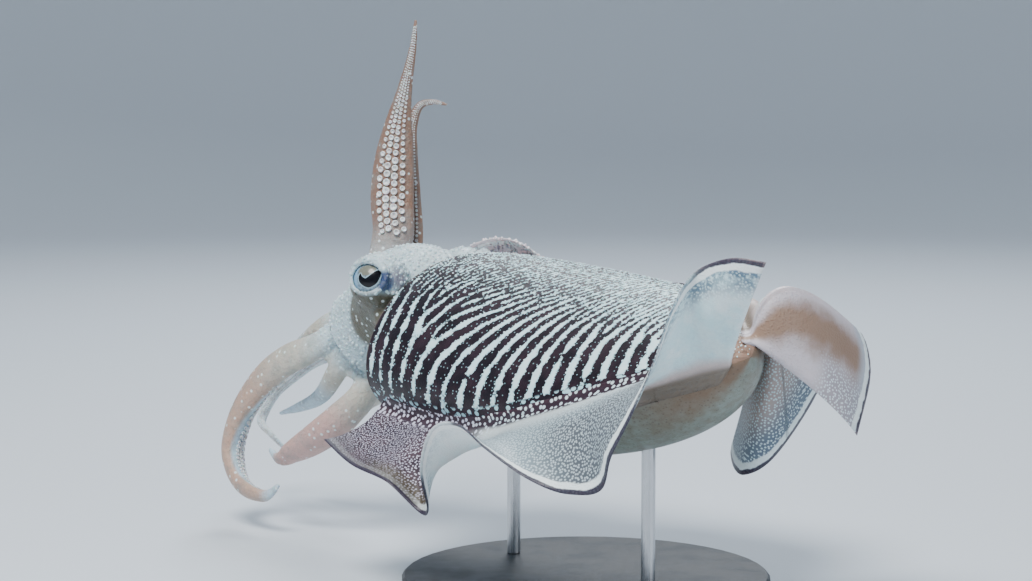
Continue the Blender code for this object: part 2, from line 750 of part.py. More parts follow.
def sucker_places(sizes, broadest, length, rng):
    """Distances along an arm, sides and radii of its suckers in two rows."""
    places = []
    at = SUCKER_START
    side = 1
    while at < length * 0.985:
        width = float(arm_half_width(at / length, sizes, broadest)[0])
        radius = max(SUCKER_LEAST, SUCKER_SHARE * width) * rng.uniform(0.94, 1.06)
        places.append((at, side, radius, width))
        at += max(SUCKER_SPACING * radius, SUCKER_PITCH_LEAST)
        side = -side
    return places


def build_arm(name, way, sizes, broadest, facing, look, rng):
    line, shares, length = arm_line(name, way)
    forward, sideways, oral = arm_frames(name, line, facing)
    widths = arm_half_width(shares, sizes, broadest)
    places = sucker_places(sizes, broadest, length, rng)
    pieces = 3 if length > ARM_LONG else 2
    cuts = np.linspace(0, len(line) - 1, pieces + 1).round().astype(int)
    for piece in range(pieces):
        first, last = cuts[piece], cuts[piece + 1]
        rings = []
        for k in range(first, last + 1):
            centre = line[k]
            if k == first and piece:
                centre = centre + ARM_ENDS_GAP / 2 * forward[k]
            if k == last and piece < pieces - 1:
                centre = centre - ARM_ENDS_GAP / 2 * forward[k]
            rings.append(arm_ring(centre, sideways[k], oral[k], widths[k]))
        points, faces = loft(rings)
        if piece == pieces - 1:
            points[-1] = line[-1] + 0.8 * widths[-1] * forward[-1]
        label = "%s_%s" % (name, "abc"[piece])
        item = add_object(label, mesh_from(label, points, faces), look)
        face_outwards(item.data)
        add_suckers(item, places, line, (sideways, oral), (shares, length), (first, last))


def add_suckers(item, places, line, directions, measure, span):
    """Fuse the suckers that stand on one length of an arm, clear of its ends."""
    sideways, oral = directions
    shares, length = measure
    low, high = shares[span[0]] * length, shares[span[1]] * length
    cups = []
    for number, (at, side, radius, width) in enumerate(places):
        at_tip = span[1] == len(line) - 1
        if at < low + radius + GAP or (at > high - radius - GAP and not at_tip):
            continue
        if at > high:
            continue
        where = np.array([at / length])
        centre = smooth_curve(shares, line, where)[0]
        across = unit(smooth_curve(shares, sideways, where)[0])
        axis = unit(smooth_curve(shares, oral, where)[0])
        offset = side * SUCKER_ROW * width
        face = ARM_ORAL_FLATNESS * width * math.sqrt(1 - SUCKER_ROW ** 2)
        lean = unit(axis + side * SUCKER_LEAN * across)
        cups.append(sucker("cup_%d" % number, centre + offset * across + face * axis,
                           lean, across, radius))
    if cups:
        combine(item, cups, "UNION")


def main():
    clear_scene()
    back = material("mantle_skin", (0.16, 0.12, 0.13), 0.5)
    pale = material("head_skin", (0.45, 0.52, 0.55), 0.5)
    fin_skin = material("fin_skin", (0.45, 0.40, 0.45), 0.45)
    arm_skin = material("arm_skin", (0.55, 0.42, 0.38), 0.5)
    eye_look = material("eye", (0.02, 0.02, 0.03), 0.1)
    metal = material("stand_metal", (0.55, 0.56, 0.58), 0.35, 1.0)
    board = material("stand_board", (0.03, 0.03, 0.035), 0.4)
    cut_sockets(build_mantle(back))
    build_head(pale, eye_look)
    build_funnel(pale)
    build_mouth(arm_skin)
    build_fins(fin_skin)
    rng = random.Random(SUCKER_SEED)
    for name, (way, sizes, broadest, facing) in ARMS.items():
        build_arm(name, way, sizes, broadest, facing, arm_skin, rng)
    build_stand(metal, board)


main()
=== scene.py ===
"""Looks of the common cuttlefish: its skin, fins, arms, suckers, eyes and stand.

Metres, +Z up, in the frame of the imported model.  Each surface repeats the named sizes of
its solids at a finer step, so that it lies where they lie.  The white bands on the back
are grown from seeded marks by repeated local filtering, and live on the skin as one number
per point: the distance in mm to the nearest edge of a band, positive inside it.
"""
import json
import math
import random

import bmesh
import bpy
import numpy as np
from mathutils import Matrix, Vector
from mathutils.kdtree import KDTree

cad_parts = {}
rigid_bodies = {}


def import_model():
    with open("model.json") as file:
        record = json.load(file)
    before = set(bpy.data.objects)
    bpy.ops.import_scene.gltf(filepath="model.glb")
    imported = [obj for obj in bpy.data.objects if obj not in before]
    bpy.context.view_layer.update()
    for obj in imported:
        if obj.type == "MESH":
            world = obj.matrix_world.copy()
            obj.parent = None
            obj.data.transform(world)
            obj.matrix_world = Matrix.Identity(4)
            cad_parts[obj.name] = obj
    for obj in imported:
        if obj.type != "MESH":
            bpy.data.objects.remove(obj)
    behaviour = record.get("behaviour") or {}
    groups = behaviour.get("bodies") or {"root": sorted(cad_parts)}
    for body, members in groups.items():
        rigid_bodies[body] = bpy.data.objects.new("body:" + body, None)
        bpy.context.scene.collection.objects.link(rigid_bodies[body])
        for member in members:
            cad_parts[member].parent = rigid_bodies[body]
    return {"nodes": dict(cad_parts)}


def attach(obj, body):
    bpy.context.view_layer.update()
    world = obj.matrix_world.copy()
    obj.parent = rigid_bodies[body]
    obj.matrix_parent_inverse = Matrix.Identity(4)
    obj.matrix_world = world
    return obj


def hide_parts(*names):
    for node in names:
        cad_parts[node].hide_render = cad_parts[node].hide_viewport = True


MM = 0.001
GAP = 0.3 * MM

# Body frame, as in the solids
MANTLE_LENGTH = 210 * MM
FRONT = np.array((-105, 0, 105)) * MM
PITCH = math.radians(2.5)
BANK = math.radians(29)
AFT = np.array((math.cos(PITCH), 0, math.sin(PITCH)))
LEVEL_UP = np.array((-math.sin(PITCH), 0, math.cos(PITCH)))
LEVEL_LEFT = np.array((0, -1, 0))
LEFT = LEVEL_LEFT * math.cos(BANK) - LEVEL_UP * math.sin(BANK)
UP = LEVEL_UP * math.cos(BANK) + LEVEL_LEFT * math.sin(BANK)
HALF_WIDTH = 53 * MM
BACK_DEPTH = 31 * MM
BELLY_DEPTH = 41 * MM
SAG = 6 * MM
RIM_TONGUE = 4 * MM
RIM_WALL = 3 * MM
POCKET_DEPTH = 14 * MM

# Mantle skin.  The girths are in mm, from side to side
MANTLE_RINGS = 400
RING_EASE = 1.45
LIP_RINGS = 9
POCKET_RINGS = 10
BACK_SIDES = 256
BELLY_SIDES = 120
BACK_GIRTH = 136.0
BELLY_GIRTH = 149.0
BAND_RELIEF = 0.25 * MM

# Top of the pearls: mm aft of the front edge, mm above the fin's root
PEARL_TOP = ((0, 8.5), (60, 10), (120, 13), (170, 16), (210, 18))

# Colours of the mantle, in pairs where the skin clouds between two
DARK = (0.006, 0.003, 0.007)
DARK_WARM = (0.026, 0.012, 0.020)
DARK_LOW = (0.034, 0.018, 0.029)
WHITE = (0.84, 0.96, 0.97)
WHITE_COOL = (0.46, 0.76, 0.83)
TAIL_TAN = (0.30, 0.19, 0.14)
BELLY_FRONT = ((0.38, 0.45, 0.43), (0.24, 0.25, 0.20))
BELLY_REAR = ((0.25, 0.30, 0.27), (0.19, 0.19, 0.155))
# Brown of the belly towards the tail, partly painted shade: it is laid on most strongly just
# under the fin
BELLY_BROWN_AND_SHADE = (0.20, 0.115, 0.068)
PIGMENT = (0.07, 0.045, 0.035)
POCKET = (0.12, 0.10, 0.09)

# Bands on the back, on the skin unrolled in mm: x aft from the front edge, and the girth
# from the left side.  The far side, from the girth MIRROR on, repeats the near one
PATTERN_STEP = 0.6
PATTERN_MARGIN = 24.0
PATTERN_ROUNDS = 9
PATTERN_SEED = 5
SEED_NOISE = 0.3
MIRROR = 106.0

# Shares of the mantle's length where the bands start.  They hold at the first girth here,
# lean away from it on both sides, and end at the second
MARK_GIRTH = 20
MARKED_GIRTH = 36
BAND_MARKS = (-0.05, -0.01, 0.03, 0.068, 0.104, 0.145, 0.192, 0.245, 0.30, 0.352, 0.405, 0.457,
              0.507, 0.557, 0.605, 0.648, 0.69, 0.735, 0.778, 0.82, 0.86, 0.90, 0.94, 0.98, 1.02)

# Lean of the bands in degrees, by share of the length and girth in mm.  Their spacing in mm
# and the white share of each go by the girth, with a factor along the body
LEAN_X = (0.0, 0.12, 0.25, 0.40, 0.55, 0.70, 0.85)
LEAN_GIRTH = (0, 25, 45, 65, 90)
LEAN = ((0, 2, -8, -15, 0), (5, -5, -10, 5, 12), (8, 20, 44, 48, 24), (8, 18, 30, 42, 24),
        (2, 0, -2, 22, 18), (-2, -10, -10, 10, 14), (0, -6, -8, 6, 10))
SPACING_GIRTH = (0, 28, 46, 56, 64, 74, 90)
SPACING = (11.2, 10.6, 9.4, 6.6, 4.6, 3.5, 2.8)
SPACING_ALONG = ((0.0, 0.80), (0.15, 0.90), (0.30, 1.0), (1.0, 1.05))
WHITE_SHARE = ((0, 0.34), (45, 0.36), (62, 0.44), (92, 0.54))
WHITE_ALONG = ((0.0, 0.82), (0.2, 0.88), (0.45, 1.0), (0.7, 1.2), (1.0, 1.3))

# Leans in radians and wavelengths in mm that the filters know, and how widely they pass
LEANS = np.radians(np.arange(-80, 81, 16))
WAVES = np.array((2.6, 3.5, 4.8, 6.6, 9.0, 11.8))
SIDE_SPREAD = 0.30
WAVE_SPREAD = 0.32

# Sizes in mm of the small forms that roughen the bands' edges
BREAK_SIZE = 1.15
WOBBLE_SIZE = 4.0
KNOB_SIZE = 1.7

# Neck, head and crown.  Each section of the head: mm ahead of the mantle's front and above
# it, bank and pitch in degrees, half width, height above and depth below in mm
NECK_RISE = 5.5 * MM
NECK_SIZE = (33 * MM, 18.5 * MM)
HEAD_SECTIONS = (
    (-6, 5.5, 28, -1, 33, 18.5, 20),
    (3, 6, 25, 3, 32, 17.5, 21),
    (12, 10.5, 17, 9, 31.5, 22, 23),
    (22, 15, 9, 18, 30.5, 24, 25.5),
    (33, 11, 6, 27, 28, 22.5, 26),
    (44, 3, 5, 34, 26, 22.5, 24.5),
)
CROWN = np.array((-160, -2, 98)) * MM
CROWN_PITCH = math.radians(37)
CROWN_RADIUS = 24.5 * MM
HEAD_SIDES = 96
HEAD_VOXEL = 0.75 * MM

# Funnel and mouth
FUNNEL_DROP = 22.5 * MM
FUNNEL_SIZE = (15 * MM, 6.5 * MM)
FUNNEL_LENGTH = 40 * MM
FUNNEL_MOUTH = 6 * MM
FUNNEL_BORE = 3.5 * MM
MOUTH_RADIUS = 8.5 * MM
MOUTH_HEIGHT = 7 * MM

# Eyes
EYE_BULGE_CENTRE = np.array((-123, 24, 127)) * MM
EYE_BULGE_RADIUS = 14 * MM
EYE_RADIUS = 10 * MM
EYE_OFFSET = 5 * MM
EYE_AIM = np.array((0.42, 0.86, 0.28))
LID_RADIUS = 8.8 * MM
LID_THICKNESS = 1.5 * MM
UPPER_LID_EXTRA = 0.9 * MM
LID_CLOSES = 0.9 * MM
LOWER_LID_CLOSES = 1.5 * MM
LID_TAILWARD = 0.7 * MM
LID_GRID = (64, 14)
EYE_GRID = (150, 160)

# Outline of the left pupil in mm, forward and up from the middle of the eyeball's face
PUPIL = ((2.2, 1.7), (1.3, 0.4), (0.3, -0.5), (-0.9, -0.8), (-2.8, 0.5), (-5.1, 2.5),
         (-6.4, 2.9), (-7.1, 1.9), (-6.8, -0.5), (-5.4, -3.2), (-3.1, -4.7), (-1.1, -5.0),
         (1.2, -3.9), (2.9, -2.1), (3.2, 0.2))

# Fins, stations in mm along the body's axes: share of the mantle's length, then the
# margin's place from the root aft, out and up, and the lift with which it leaves
LEFT_FIN = (
    (0.03, 3, 36, -1, -2),
    (0.11, 12, 41, -5, 0),
    (0.20, 18, 41, -9, 2),
    (0.30, 19, 41, -21, 3),
    (0.35, 21, 42, 3, -5),
    (0.41, 21, 36, 21, -4),
    (0.47, 23, 33, 23, -1),
    (0.53, 25, 36, 13, 4),
    (0.60, 28, 38, 0, 5),
    (0.68, 29, 37, -10, 5),
    (0.74, 31, 35, -10, 3),
    (0.785, 32, 35, 3, 1),
    (0.84, 31, 30, 16, 0),
    (0.89, 28, 20, 31, 0),
    (0.925, 27, 8, 48, 4),
    (0.955, 21, -5, 51, 8),
    (0.97, 33, -5, 53, 8),
    (0.985, 41, -6, 48, 4),
)
RIGHT_FIN = (
    (0.03, -31, 0, 8, 4),
    (0.047, -42, 1, 13, 5),
    (0.068, -25, -2, 20, 4),
    (0.09, -10, -5, 23, 2),
    (0.11, -4, -5, 20, 0),
    (0.13, -4, -2, 12, -5),
    (0.15, -3, 5, -3, -12),
    (0.18, 2, 15, -20, -19),
    (0.23, 8, 19, -31, -22),
    (0.32, 9, 23, -35, -22),
    (0.44, 10, 28, -31, -20),
    (0.54, 10, 29, -30, -20),
    (0.64, 7, 24, -37, -20),
    (0.74, -4, 6, -46, -18),
    (0.80, -18, -6, -53, -14),
    (0.845, -31, -15, -61, -15),
    (0.885, -15, -26, -60, -10),
    (0.915, -10, -12, -57, 0),
    (0.94, -14, 18, -50, 15),
    (0.957, -10, 41, -36, 20),
    (0.968, 2, 47, -27, 23),
    (0.978, 6, 42, -40, 8),
    (0.99, 17, 15, -51, -42),
)
FIN_THICKNESS = ((0.0, 4.5), (0.34, 2.0), (1.0, 0.8))
FIN_BEND = 0.42
FIN_COLUMNS = 420
FIN_ROWS = 76
FIN_ROW_EASE = 1.12
FIN_SINK = 1.5 * MM
FIN_FILLET = 5 * MM

# Each stretch of a fin between these stations is laid flat on its own, for its dots, on a
# coarse grid of columns and rows, and set apart from the next in mm
FIN_FOLDS = {1: (0.32, 0.50, 0.86), -1: (0.15, 0.40, 0.72, 0.925, 0.968)}
FLAT_COLUMNS = 34
FLAT_ROWS = 12
FLAT_ROUNDS = 700
FLAT_APART = 500
FLAT_PULL = 1.6

# Stations where the right fin turns its underside up
TAIL_TURN = (0.81, 0.84)

# Where the fins leave the flank: share of the mantle's length, degrees above its side
FIN_ROOT_LINE = ((0.0, -11), (0.15, -11), (0.32, -10), (0.5, -4), (0.65, 6), (0.8, 19),
                 (0.88, 24), (1.0, 25))

# Colours of the fins, in pairs where one passes into the other
FRONT_LOBE = ((0.026, 0.014, 0.027), (0.066, 0.038, 0.052))
LOBE_OLIVE = (0.075, 0.064, 0.038)
FAR_FRONT = (0.82, 0.74, 0.77)
FAR_FRONT_UNDER = (0.80, 0.73, 0.77)
MIDDLE_LOBE = ((0.56, 0.64, 0.65), (0.22, 0.30, 0.34))
SLATE = (0.075, 0.080, 0.095)
FAR_TAIL = ((0.44, 0.37, 0.35), (0.13, 0.18, 0.24))
FIN_DOTS = ((0.66, 0.66, 0.80), (0.66, 0.80, 0.86))
UNDERSIDE = ((0.60, 0.79, 0.83), (0.72, 0.84, 0.86))
UNDER_ROOT = (0.60, 0.50, 0.48)
UNDER_BROWN = (0.19, 0.15, 0.115)
# Whiter copy of the underside: painted light on the fold band, whose underside faces away from
# the lamps
UNDER_FOLD_PAINTED_LIGHT = (0.82, 0.93, 0.95)
MOTTLE = (0.13, 0.25, 0.33)
CREST_NET = (0.10, 0.19, 0.27)
FAR_LOBE = ((0.30, 0.20, 0.145), (0.56, 0.52, 0.56))
FAR_LOBE_EDGE = (0.44, 0.48, 0.54)
FAR_LOBE_TIP = (0.30, 0.29, 0.33)
TIP_DOTS = (0.72, 0.80, 0.86)
EDGE_LINE = (0.86, 0.96, 0.97)
EDGE_RIM = (0.030, 0.024, 0.046)

# Colours of head and arms
TAN = (0.30, 0.17, 0.11)
SAND = (0.50, 0.34, 0.26)
BUFF = (0.52, 0.50, 0.43)
UMBER = (0.24, 0.14, 0.10)
ROSE = (0.58, 0.37, 0.33)
PALE = (0.62, 0.72, 0.75)
CREAM = (0.66, 0.62, 0.55)
BLUE_WHITE = (0.50, 0.66, 0.76)
HEAD_WHITE = (0.50, 0.64, 0.69)
OLIVE = (0.105, 0.096, 0.062)
MAUVE = (0.24, 0.23, 0.31)
# Painted shade, deep blue, in the hollow where the lid meets the eye on its tailward side
INDIGO_PAINTED_SHADE = (0.036, 0.066, 0.17)
HEAD_CLOUD = (0.24, 0.27, 0.26)
HEAD_SPECK = (0.16, 0.11, 0.09)
HEAD_FLECK = (0.80, 0.92, 0.94)

# Tinted patches on cheek and brow, and painted shade where the lid meets the eye tailwards:
# middle and size in mm on the left side, share of the size where the patch starts to fade,
# colour, how far it smooths the skin
PATCHES = (((-125, 27, 109), (21.5, 17, 25), 0.82, OLIVE, 0.6),
           ((-107, 22, 131), (8, 8, 11), 0.3, MAUVE, 0.2),
           ((-109.5, 30, 129), (4.2, 5.6, 6.4), 0.6, INDIGO_PAINTED_SHADE, 0.8))

# Form of all arms
ARM_RING = 17 * MM
ARM_WHIP = 0.79
ARM_LEAD = 7 * MM
ARM_FLATNESS = 0.74
ARM_ORAL_FLATNESS = 0.59
ARM_SIDES = 28
ARM_STEP = 2 * MM

# Each arm: way in mm, half widths at root, broadest place, start of the whip and tip, where
# it is broadest, the way the suckers face at the tip, colours of its outer and inner side
ARMS = {
    "arm_left_1": (((-184, -13, 102), (-207, -16, 87), (-230, -19, 70), (-248, -18, 59),
                    (-262, -12, 49)), (6.2, 5.6, 3.0, 1.0), 0.25, (0.2, 0.5, -0.85),
                   BLUE_WHITE, PALE),
    "arm_left_2": (((-180, -24, 91), (-197, -29, 83), (-217, -33, 68), (-228, -37, 51),
                    (-230, -40, 35), (-221, -42, 23), (-206, -43, 18.5), (-194, -42, 19),
                    (-187, -41, 24)), (6.3, 9.0, 5.7, 1.6), 0.45, (0.75, 0.6, 0.25),
                   SAND, BLUE_WHITE),
    "arm_left_3": (((-168, -19, 80), (-189, -14, 66), (-218, -9, 56), (-240, -6, 50)),
                   (6.0, 4.6, 2.6, 1.0), 0.3, (0.1, 0.6, 0.8), BLUE_WHITE, PALE),
    "arm_left_4": (((-153, -12, 73), (-162, -20, 59), (-177, -25, 47.5), (-193, -28, 39),
                    (-205, -29, 34), (-212, -29, 37)), (6.2, 8.2, 5.6, 1.6), 0.5,
                   (-0.3, 0.75, 0.55), ROSE, CREAM),
    "arm_right_1": (((-177, 7, 109), (-184, 14, 116), (-188, 23, 128), (-190, 29, 142),
                     (-195, 32, 159), (-196, 34, 178), (-193, 35, 198), (-187, 35, 216),
                     (-181, 35, 233), (-178, 35, 247)), (5.8, 10.4, 3.8, 0.9), 0.55,
                    (0.5, -0.86, 0.0), TAN, UMBER),
    "arm_right_2": (((-171, 17, 100), (-181, 26, 105), (-189, 36, 119), (-194, 43, 138),
                     (-201, 47.5, 160), (-205, 50, 181), (-206, 52, 196), (-202, 54, 205),
                     (-194, 56, 207), (-185, 58, 206)), (6.0, 6.2, 3.2, 0.8), 0.35,
                    (0.6, -0.7, 0.3), TAN, UMBER),
    "arm_right_3": (((-170, 16, 84), (-195, 13, 83), (-221, 10, 81), (-250, 9, 68),
                     (-271, 6, 51), (-275, 4, 41), (-263, 2, 36), (-247, 1, 30)),
                    (6.0, 5.2, 2.8, 1.0), 0.25, (0.6, -0.5, -0.3), PALE, PALE),
    "arm_right_4": (((-160, 7, 74), (-185, 10, 62), (-212, 12, 48), (-237, 13, 36),
                     (-250, 13, 31)), (6.2, 6.6, 4.0, 1.2), 0.4, (-0.3, -0.5, 0.8),
                    ROSE, CREAM),
}
RAISED_ARMS = ("arm_right_1", "arm_right_2")

# Order of the arms round the crown, with a web between all but one pair of neighbours
ARM_ORDER = ("arm_left_1", "arm_left_2", "arm_left_3", "arm_left_4",
             "arm_right_4", "arm_right_3", "arm_right_2", "arm_right_1")
OPEN_PAIR = ("arm_left_4", "arm_right_4")
WEB_SHARE = 0.20
WEB_GRID = (16, 14)
WEB_SAG = 0.28
WEB_THICKNESS = 1.7 * MM

# Suckers in four rows, at shares of the arm's half width.  Their radius is a share of it
# too, and their pitch is in radii, with a gap that closes where they crowd
SUCKER_ROWS = (-0.50, -0.17, 0.17, 0.50)
SUCKER_SHARE = 0.16
SUCKER_LEAST = 0.4 * MM
SUCKER_PITCH = 2.4
SUCKER_GAP = 1.6 * MM
SUCKER_CROWDED = 22 * MM
SUCKER_START = 7 * MM
SUCKER_START_RAISED = 52 * MM
SUCKER_SHIFT_RAISED = 0.14
SUCKER_LEAN = 0.75
OUTER_ROW = 0.4
OUTER_ROW_SIZE = 0.86
OUTER_ROW_PITCH = 1.16
SUCKER_SIDES = 10
SUCKER_SEED = 11
SUCKER_HOLLOW = 0.15
SUCKER_PROFILE = ((0.78, -0.8), (0.82, 0.1), (1.0, 0.42), (0.97, 0.66), (0.8, 0.74),
                  (0.6, 0.6), (0.4, 0.25))

# Papillae: seed, chance of a point, and least distance between two in mm.  Those of the
# head lie ahead of the mantle and clear of the eyes, those of the right fin on its front
HEAD_PAPILLAE = (21, 0.25, 1.8)
MANTLE_PAPILLAE = (31, 0.35, 1.7)
FIN_PAPILLAE = (41, 0.5, 1.9)
DOME_PROFILE = ((1.0, -0.25), (0.93, 0.25), (0.68, 0.68), (0.34, 0.93))
AHEAD_OF_MANTLE = -98 * MM
CLEAR_OF_EYE = 11.5 * MM
FRILL_END = 0.132
FRILL_ROOT = 6

# Skins of one hue: two colours, size of their clouds in mm, roughness, relief in mm
PLAIN_SKINS = {
    "papillae_pale": ((0.60, 0.74, 0.78), (0.40, 0.52, 0.56), 5, 0.4, 0.1),
    "papillae_white": ((0.70, 0.86, 0.90), (0.55, 0.74, 0.80), 5, 0.4, 0.05),
    "papillae_rose": ((0.88, 0.82, 0.85), (0.76, 0.68, 0.74), 3, 0.45, 0.3),
    "sucker_skin": ((0.84, 0.88, 0.90), (0.52, 0.50, 0.50), 2.6, 0.24, 0.1),
    "lip_skin": ((0.55, 0.45, 0.40), (0.30, 0.20, 0.17), 4, 0.4, 0.3),
    "funnel_skin": ((0.50, 0.56, 0.56), (0.30, 0.30, 0.26), 6, 0.4, 0.3),
}

# Colours of the eye and the stand
IRIS = ((0.24, 0.35, 0.44), (0.10, 0.15, 0.20))
IRIS_FOLD = (0.17, 0.17, 0.125)
IRIS_FORE = (0.22, 0.42, 0.60)
# Painted shade on the eyeball's tailward edge, next to the lid
IRIS_AFT_PAINTED_SHADE = (0.012, 0.030, 0.12)
IRIS_HALO = (0.42, 0.60, 0.66)
PUPIL_BLACK = (0.003, 0.003, 0.005)
BOARD = ((0.022, 0.023, 0.026), (0.032, 0.033, 0.036))
METAL = ((0.52, 0.53, 0.55), (0.62, 0.63, 0.65))

# Camera and stage
CAMERA_PLACE = (0.8663, -0.6908, 0.2486)
CAMERA_LENS = 90.41
CAMERA_LOOK = Vector((-0.79424, 0.59851, -0.10453))
CAMERA_UP = Vector((-0.08348, 0.06291, 0.99452))
FLOOR_RADIUS = 1.9
FLOOR_COLOUR = (0.60, 0.66, 0.72, 1)
FLOOR_SIDES = 128
COVE_CURVE = 0.9
COVE_HEIGHT = 3.2
WORLD_COLOUR = (0.72, 0.82, 0.95, 1)
WORLD_STRENGTH = 0.38

# Lights: place, size in metres, power in watts, colour.  All aim at the same point
LIGHTS = {
    "key": ((0.25, -0.75, 1.35), 0.7, 34, (1.0, 0.98, 0.96)),
    "fill": ((1.35, 0.35, 0.55), 0.9, 4, (0.90, 0.95, 1.0)),
    "back": ((-0.9, 0.8, 1.2), 0.7, 17, (0.92, 0.96, 1.0)),
}
LIGHT_AIM = (-0.05, 0, 0.1)


# Small helpers

def unit(vectors):
    """Vectors of length one, along the last axis."""
    return vectors / np.linalg.norm(vectors, axis=-1, keepdims=True)


def round_angles(count):
    return np.linspace(0, 2 * math.pi, count, endpoint=False)


def smoothstep(low, high, value):
    share = np.clip((value - low) / (high - low), 0, 1)
    return share * share * (3 - 2 * share)


def smooth_curve(knots, values, where):
    """Cubic curve through the values at the knots, with Catmull-Rom slopes."""
    knots = np.asarray(knots, float)
    values = np.asarray(values, float)
    slopes = np.gradient(values, knots, axis=0)
    where = np.clip(where, knots[0], knots[-1])
    index = np.clip(np.searchsorted(knots, where, side="right") - 1, 0, len(knots) - 2)
    span = knots[index + 1] - knots[index]
    share = (where - knots[index]) / span
    shape = (-1,) + (1,) * (values.ndim - 1)
    share = share.reshape(shape)
    span = span.reshape(shape)
    before = values[index] * (2 * share ** 3 - 3 * share ** 2 + 1)
    after = values[index + 1] * (3 * share ** 2 - 2 * share ** 3)
    rise = slopes[index] * span * (share ** 3 - 2 * share ** 2 + share)
    fall = slopes[index + 1] * span * (share ** 3 - share ** 2)
    return before + after + rise + fall


def grid_faces(columns, rows, wrap=False, start=0):
    """Quads of a grid whose point (i, j) is number i * rows + j."""
    i = np.arange(columns - 1)[:, None]
    j = np.arange(rows if wrap else rows - 1)[None]
    after = (j + 1) % rows
    quads = np.stack((i * rows + j, i * rows + after, (i + 1) * rows + after,
                      (i + 1) * rows + j), axis=-1)
    return quads.reshape(-1, 4) + start


def add_object(name, data):
    item = bpy.data.objects.new(name, data)
    bpy.context.scene.collection.objects.link(item)
    return item


def mesh_object(name, points, faces, look=None):
    mesh = bpy.data.meshes.new(name)
    faces = [tuple(int(k) for k in face) for face in faces]
    mesh.from_pydata([tuple(point) for point in points], [], faces)
    mesh.update()
    if look is not None:
        mesh.materials.append(look)
    mesh.shade_smooth()
    return add_object(name, mesh)


def face_outwards(item):
    body = bmesh.new()
    body.from_mesh(item.data)
    bmesh.ops.recalc_face_normals(body, faces=body.faces)
    if body.calc_volume(signed=True) < 0:
        bmesh.ops.reverse_faces(body, faces=body.faces)
    body.to_mesh(item.data)
    body.free()


def store(item, name, values, kind="FLOAT"):
    """Keep one number, vector or colour per point on the mesh."""
    values = np.asarray(values, np.float32)
    made = item.data.attributes.new(name, kind, "POINT")
    key = {"FLOAT": "value", "FLOAT_VECTOR": "vector", "FLOAT_COLOR": "color"}[kind]
    made.data.foreach_set(key, values.ravel())


def stored(item, name):
    """Numbers kept on a mesh's points."""
    values = np.zeros(len(item.data.vertices), np.float32)
    item.data.attributes[name].data.foreach_get("value", values)
    return values


def per_point(item, key):
    """Places (co) or normals (normal) of a mesh's points."""
    flat = np.zeros(len(item.data.vertices) * 3, np.float32)
    item.data.vertices.foreach_get(key, flat)
    return flat.reshape(-1, 3).astype(float)


def move_points(item, points):
    item.data.vertices.foreach_set("co", np.asarray(points, np.float32).ravel())
    item.data.update()


def apply_modifiers(item):
    graph = bpy.context.evaluated_depsgraph_get()
    mesh = bpy.data.meshes.new_from_object(item.evaluated_get(graph))
    item.modifiers.clear()
    item.data = mesh


def closed_sheet(name, grid, offset, look=None):
    """Sheet with a face at each offset from its middle surface, and a closed rim."""
    columns, rows = grid.shape[:2]
    under = columns * rows
    points = np.concatenate(((grid + offset).reshape(-1, 3), (grid - offset).reshape(-1, 3)))
    upper = grid_faces(columns, rows)
    rim = [(i * rows, (i + 1) * rows) for i in range(columns - 1)]
    rim += [((columns - 1) * rows + j, (columns - 1) * rows + j + 1) for j in range(rows - 1)]
    rim += [((i + 1) * rows - 1, i * rows - 1) for i in range(columns - 1, 0, -1)]
    rim += [(j + 1, j) for j in range(rows - 1)]
    faces = [*upper, *(upper[:, ::-1] + under)]
    faces += [(a, b, b + under, a + under) for a, b in rim]
    item = mesh_object(name, points, faces, look)
    face_outwards(item)
    return item


def tube(name, rings, look=None, tip=None):
    """Closed mesh through rings of points, with a fan at each end."""
    rings = np.array(rings)
    sides = rings.shape[1]
    tip = rings[-1].mean(axis=0) if tip is None else tip
    points = np.vstack((rings.reshape(-1, 3), rings[0].mean(axis=0), tip))
    faces = list(grid_faces(len(rings), sides, True))
    last = (len(rings) - 1) * sides
    for i in range(sides):
        faces.append((len(points) - 2, i, (i + 1) % sides))
        faces.append((len(points) - 1, last + (i + 1) % sides, last + i))
    item = mesh_object(name, points, faces, look)
    face_outwards(item)
    return item


def add_bump(points, faces, profile, sides, centre, ways, radius, height, top):
    """Add a form turned round an axis, closed at its top, to lists of points and faces."""
    flat, front, axis = ways
    start = len(points)
    for share, rise in profile:
        for turn in round_angles(sides):
            spoke = flat * math.cos(turn) + front * math.sin(turn)
            points.append(centre + radius * share * spoke + height * rise * axis)
    points.append(centre + height * top * axis)
    faces += list(grid_faces(len(profile), sides, True, start))
    last = start + (len(profile) - 1) * sides
    for i in range(sides):
        faces.append((len(points) - 1, last + i, last + (i + 1) % sides))


def relax(item, rounds, shrink=0.5, swell=-0.52):
    """Smooth a mesh in pairs of steps that keep its volume."""
    edges = np.zeros(len(item.data.edges) * 2, np.int32)
    item.data.edges.foreach_get("vertices", edges)
    edges = edges.reshape(-1, 2)
    points = per_point(item, "co")
    count = len(points)
    links = np.bincount(edges.ravel(), minlength=count)[:, None]
    links = np.maximum(links, 1)
    for _ in range(rounds):
        for pull in (shrink, swell):
            total = np.zeros_like(points)
            for k in range(3):
                total[:, k] = np.bincount(edges[:, 0], points[edges[:, 1], k], count)
                total[:, k] += np.bincount(edges[:, 1], points[edges[:, 0], k], count)
            points = points + pull * (total / links - points)
    move_points(item, points)


def grid_noise(shape, step, size, rng):
    """Smooth seeded noise on a grid, about -1 to 1, with features of the given size."""
    reach = [np.fft.fftfreq(n, step) for n in shape]
    square = (reach[0][:, None] ** 2 + reach[1][None] ** 2) * size ** 2
    spectrum = np.fft.fft2(rng.normal(size=shape)) * np.exp(-4 * square)
    made = np.real(np.fft.ifft2(spectrum))
    return made / (2 * made.std())


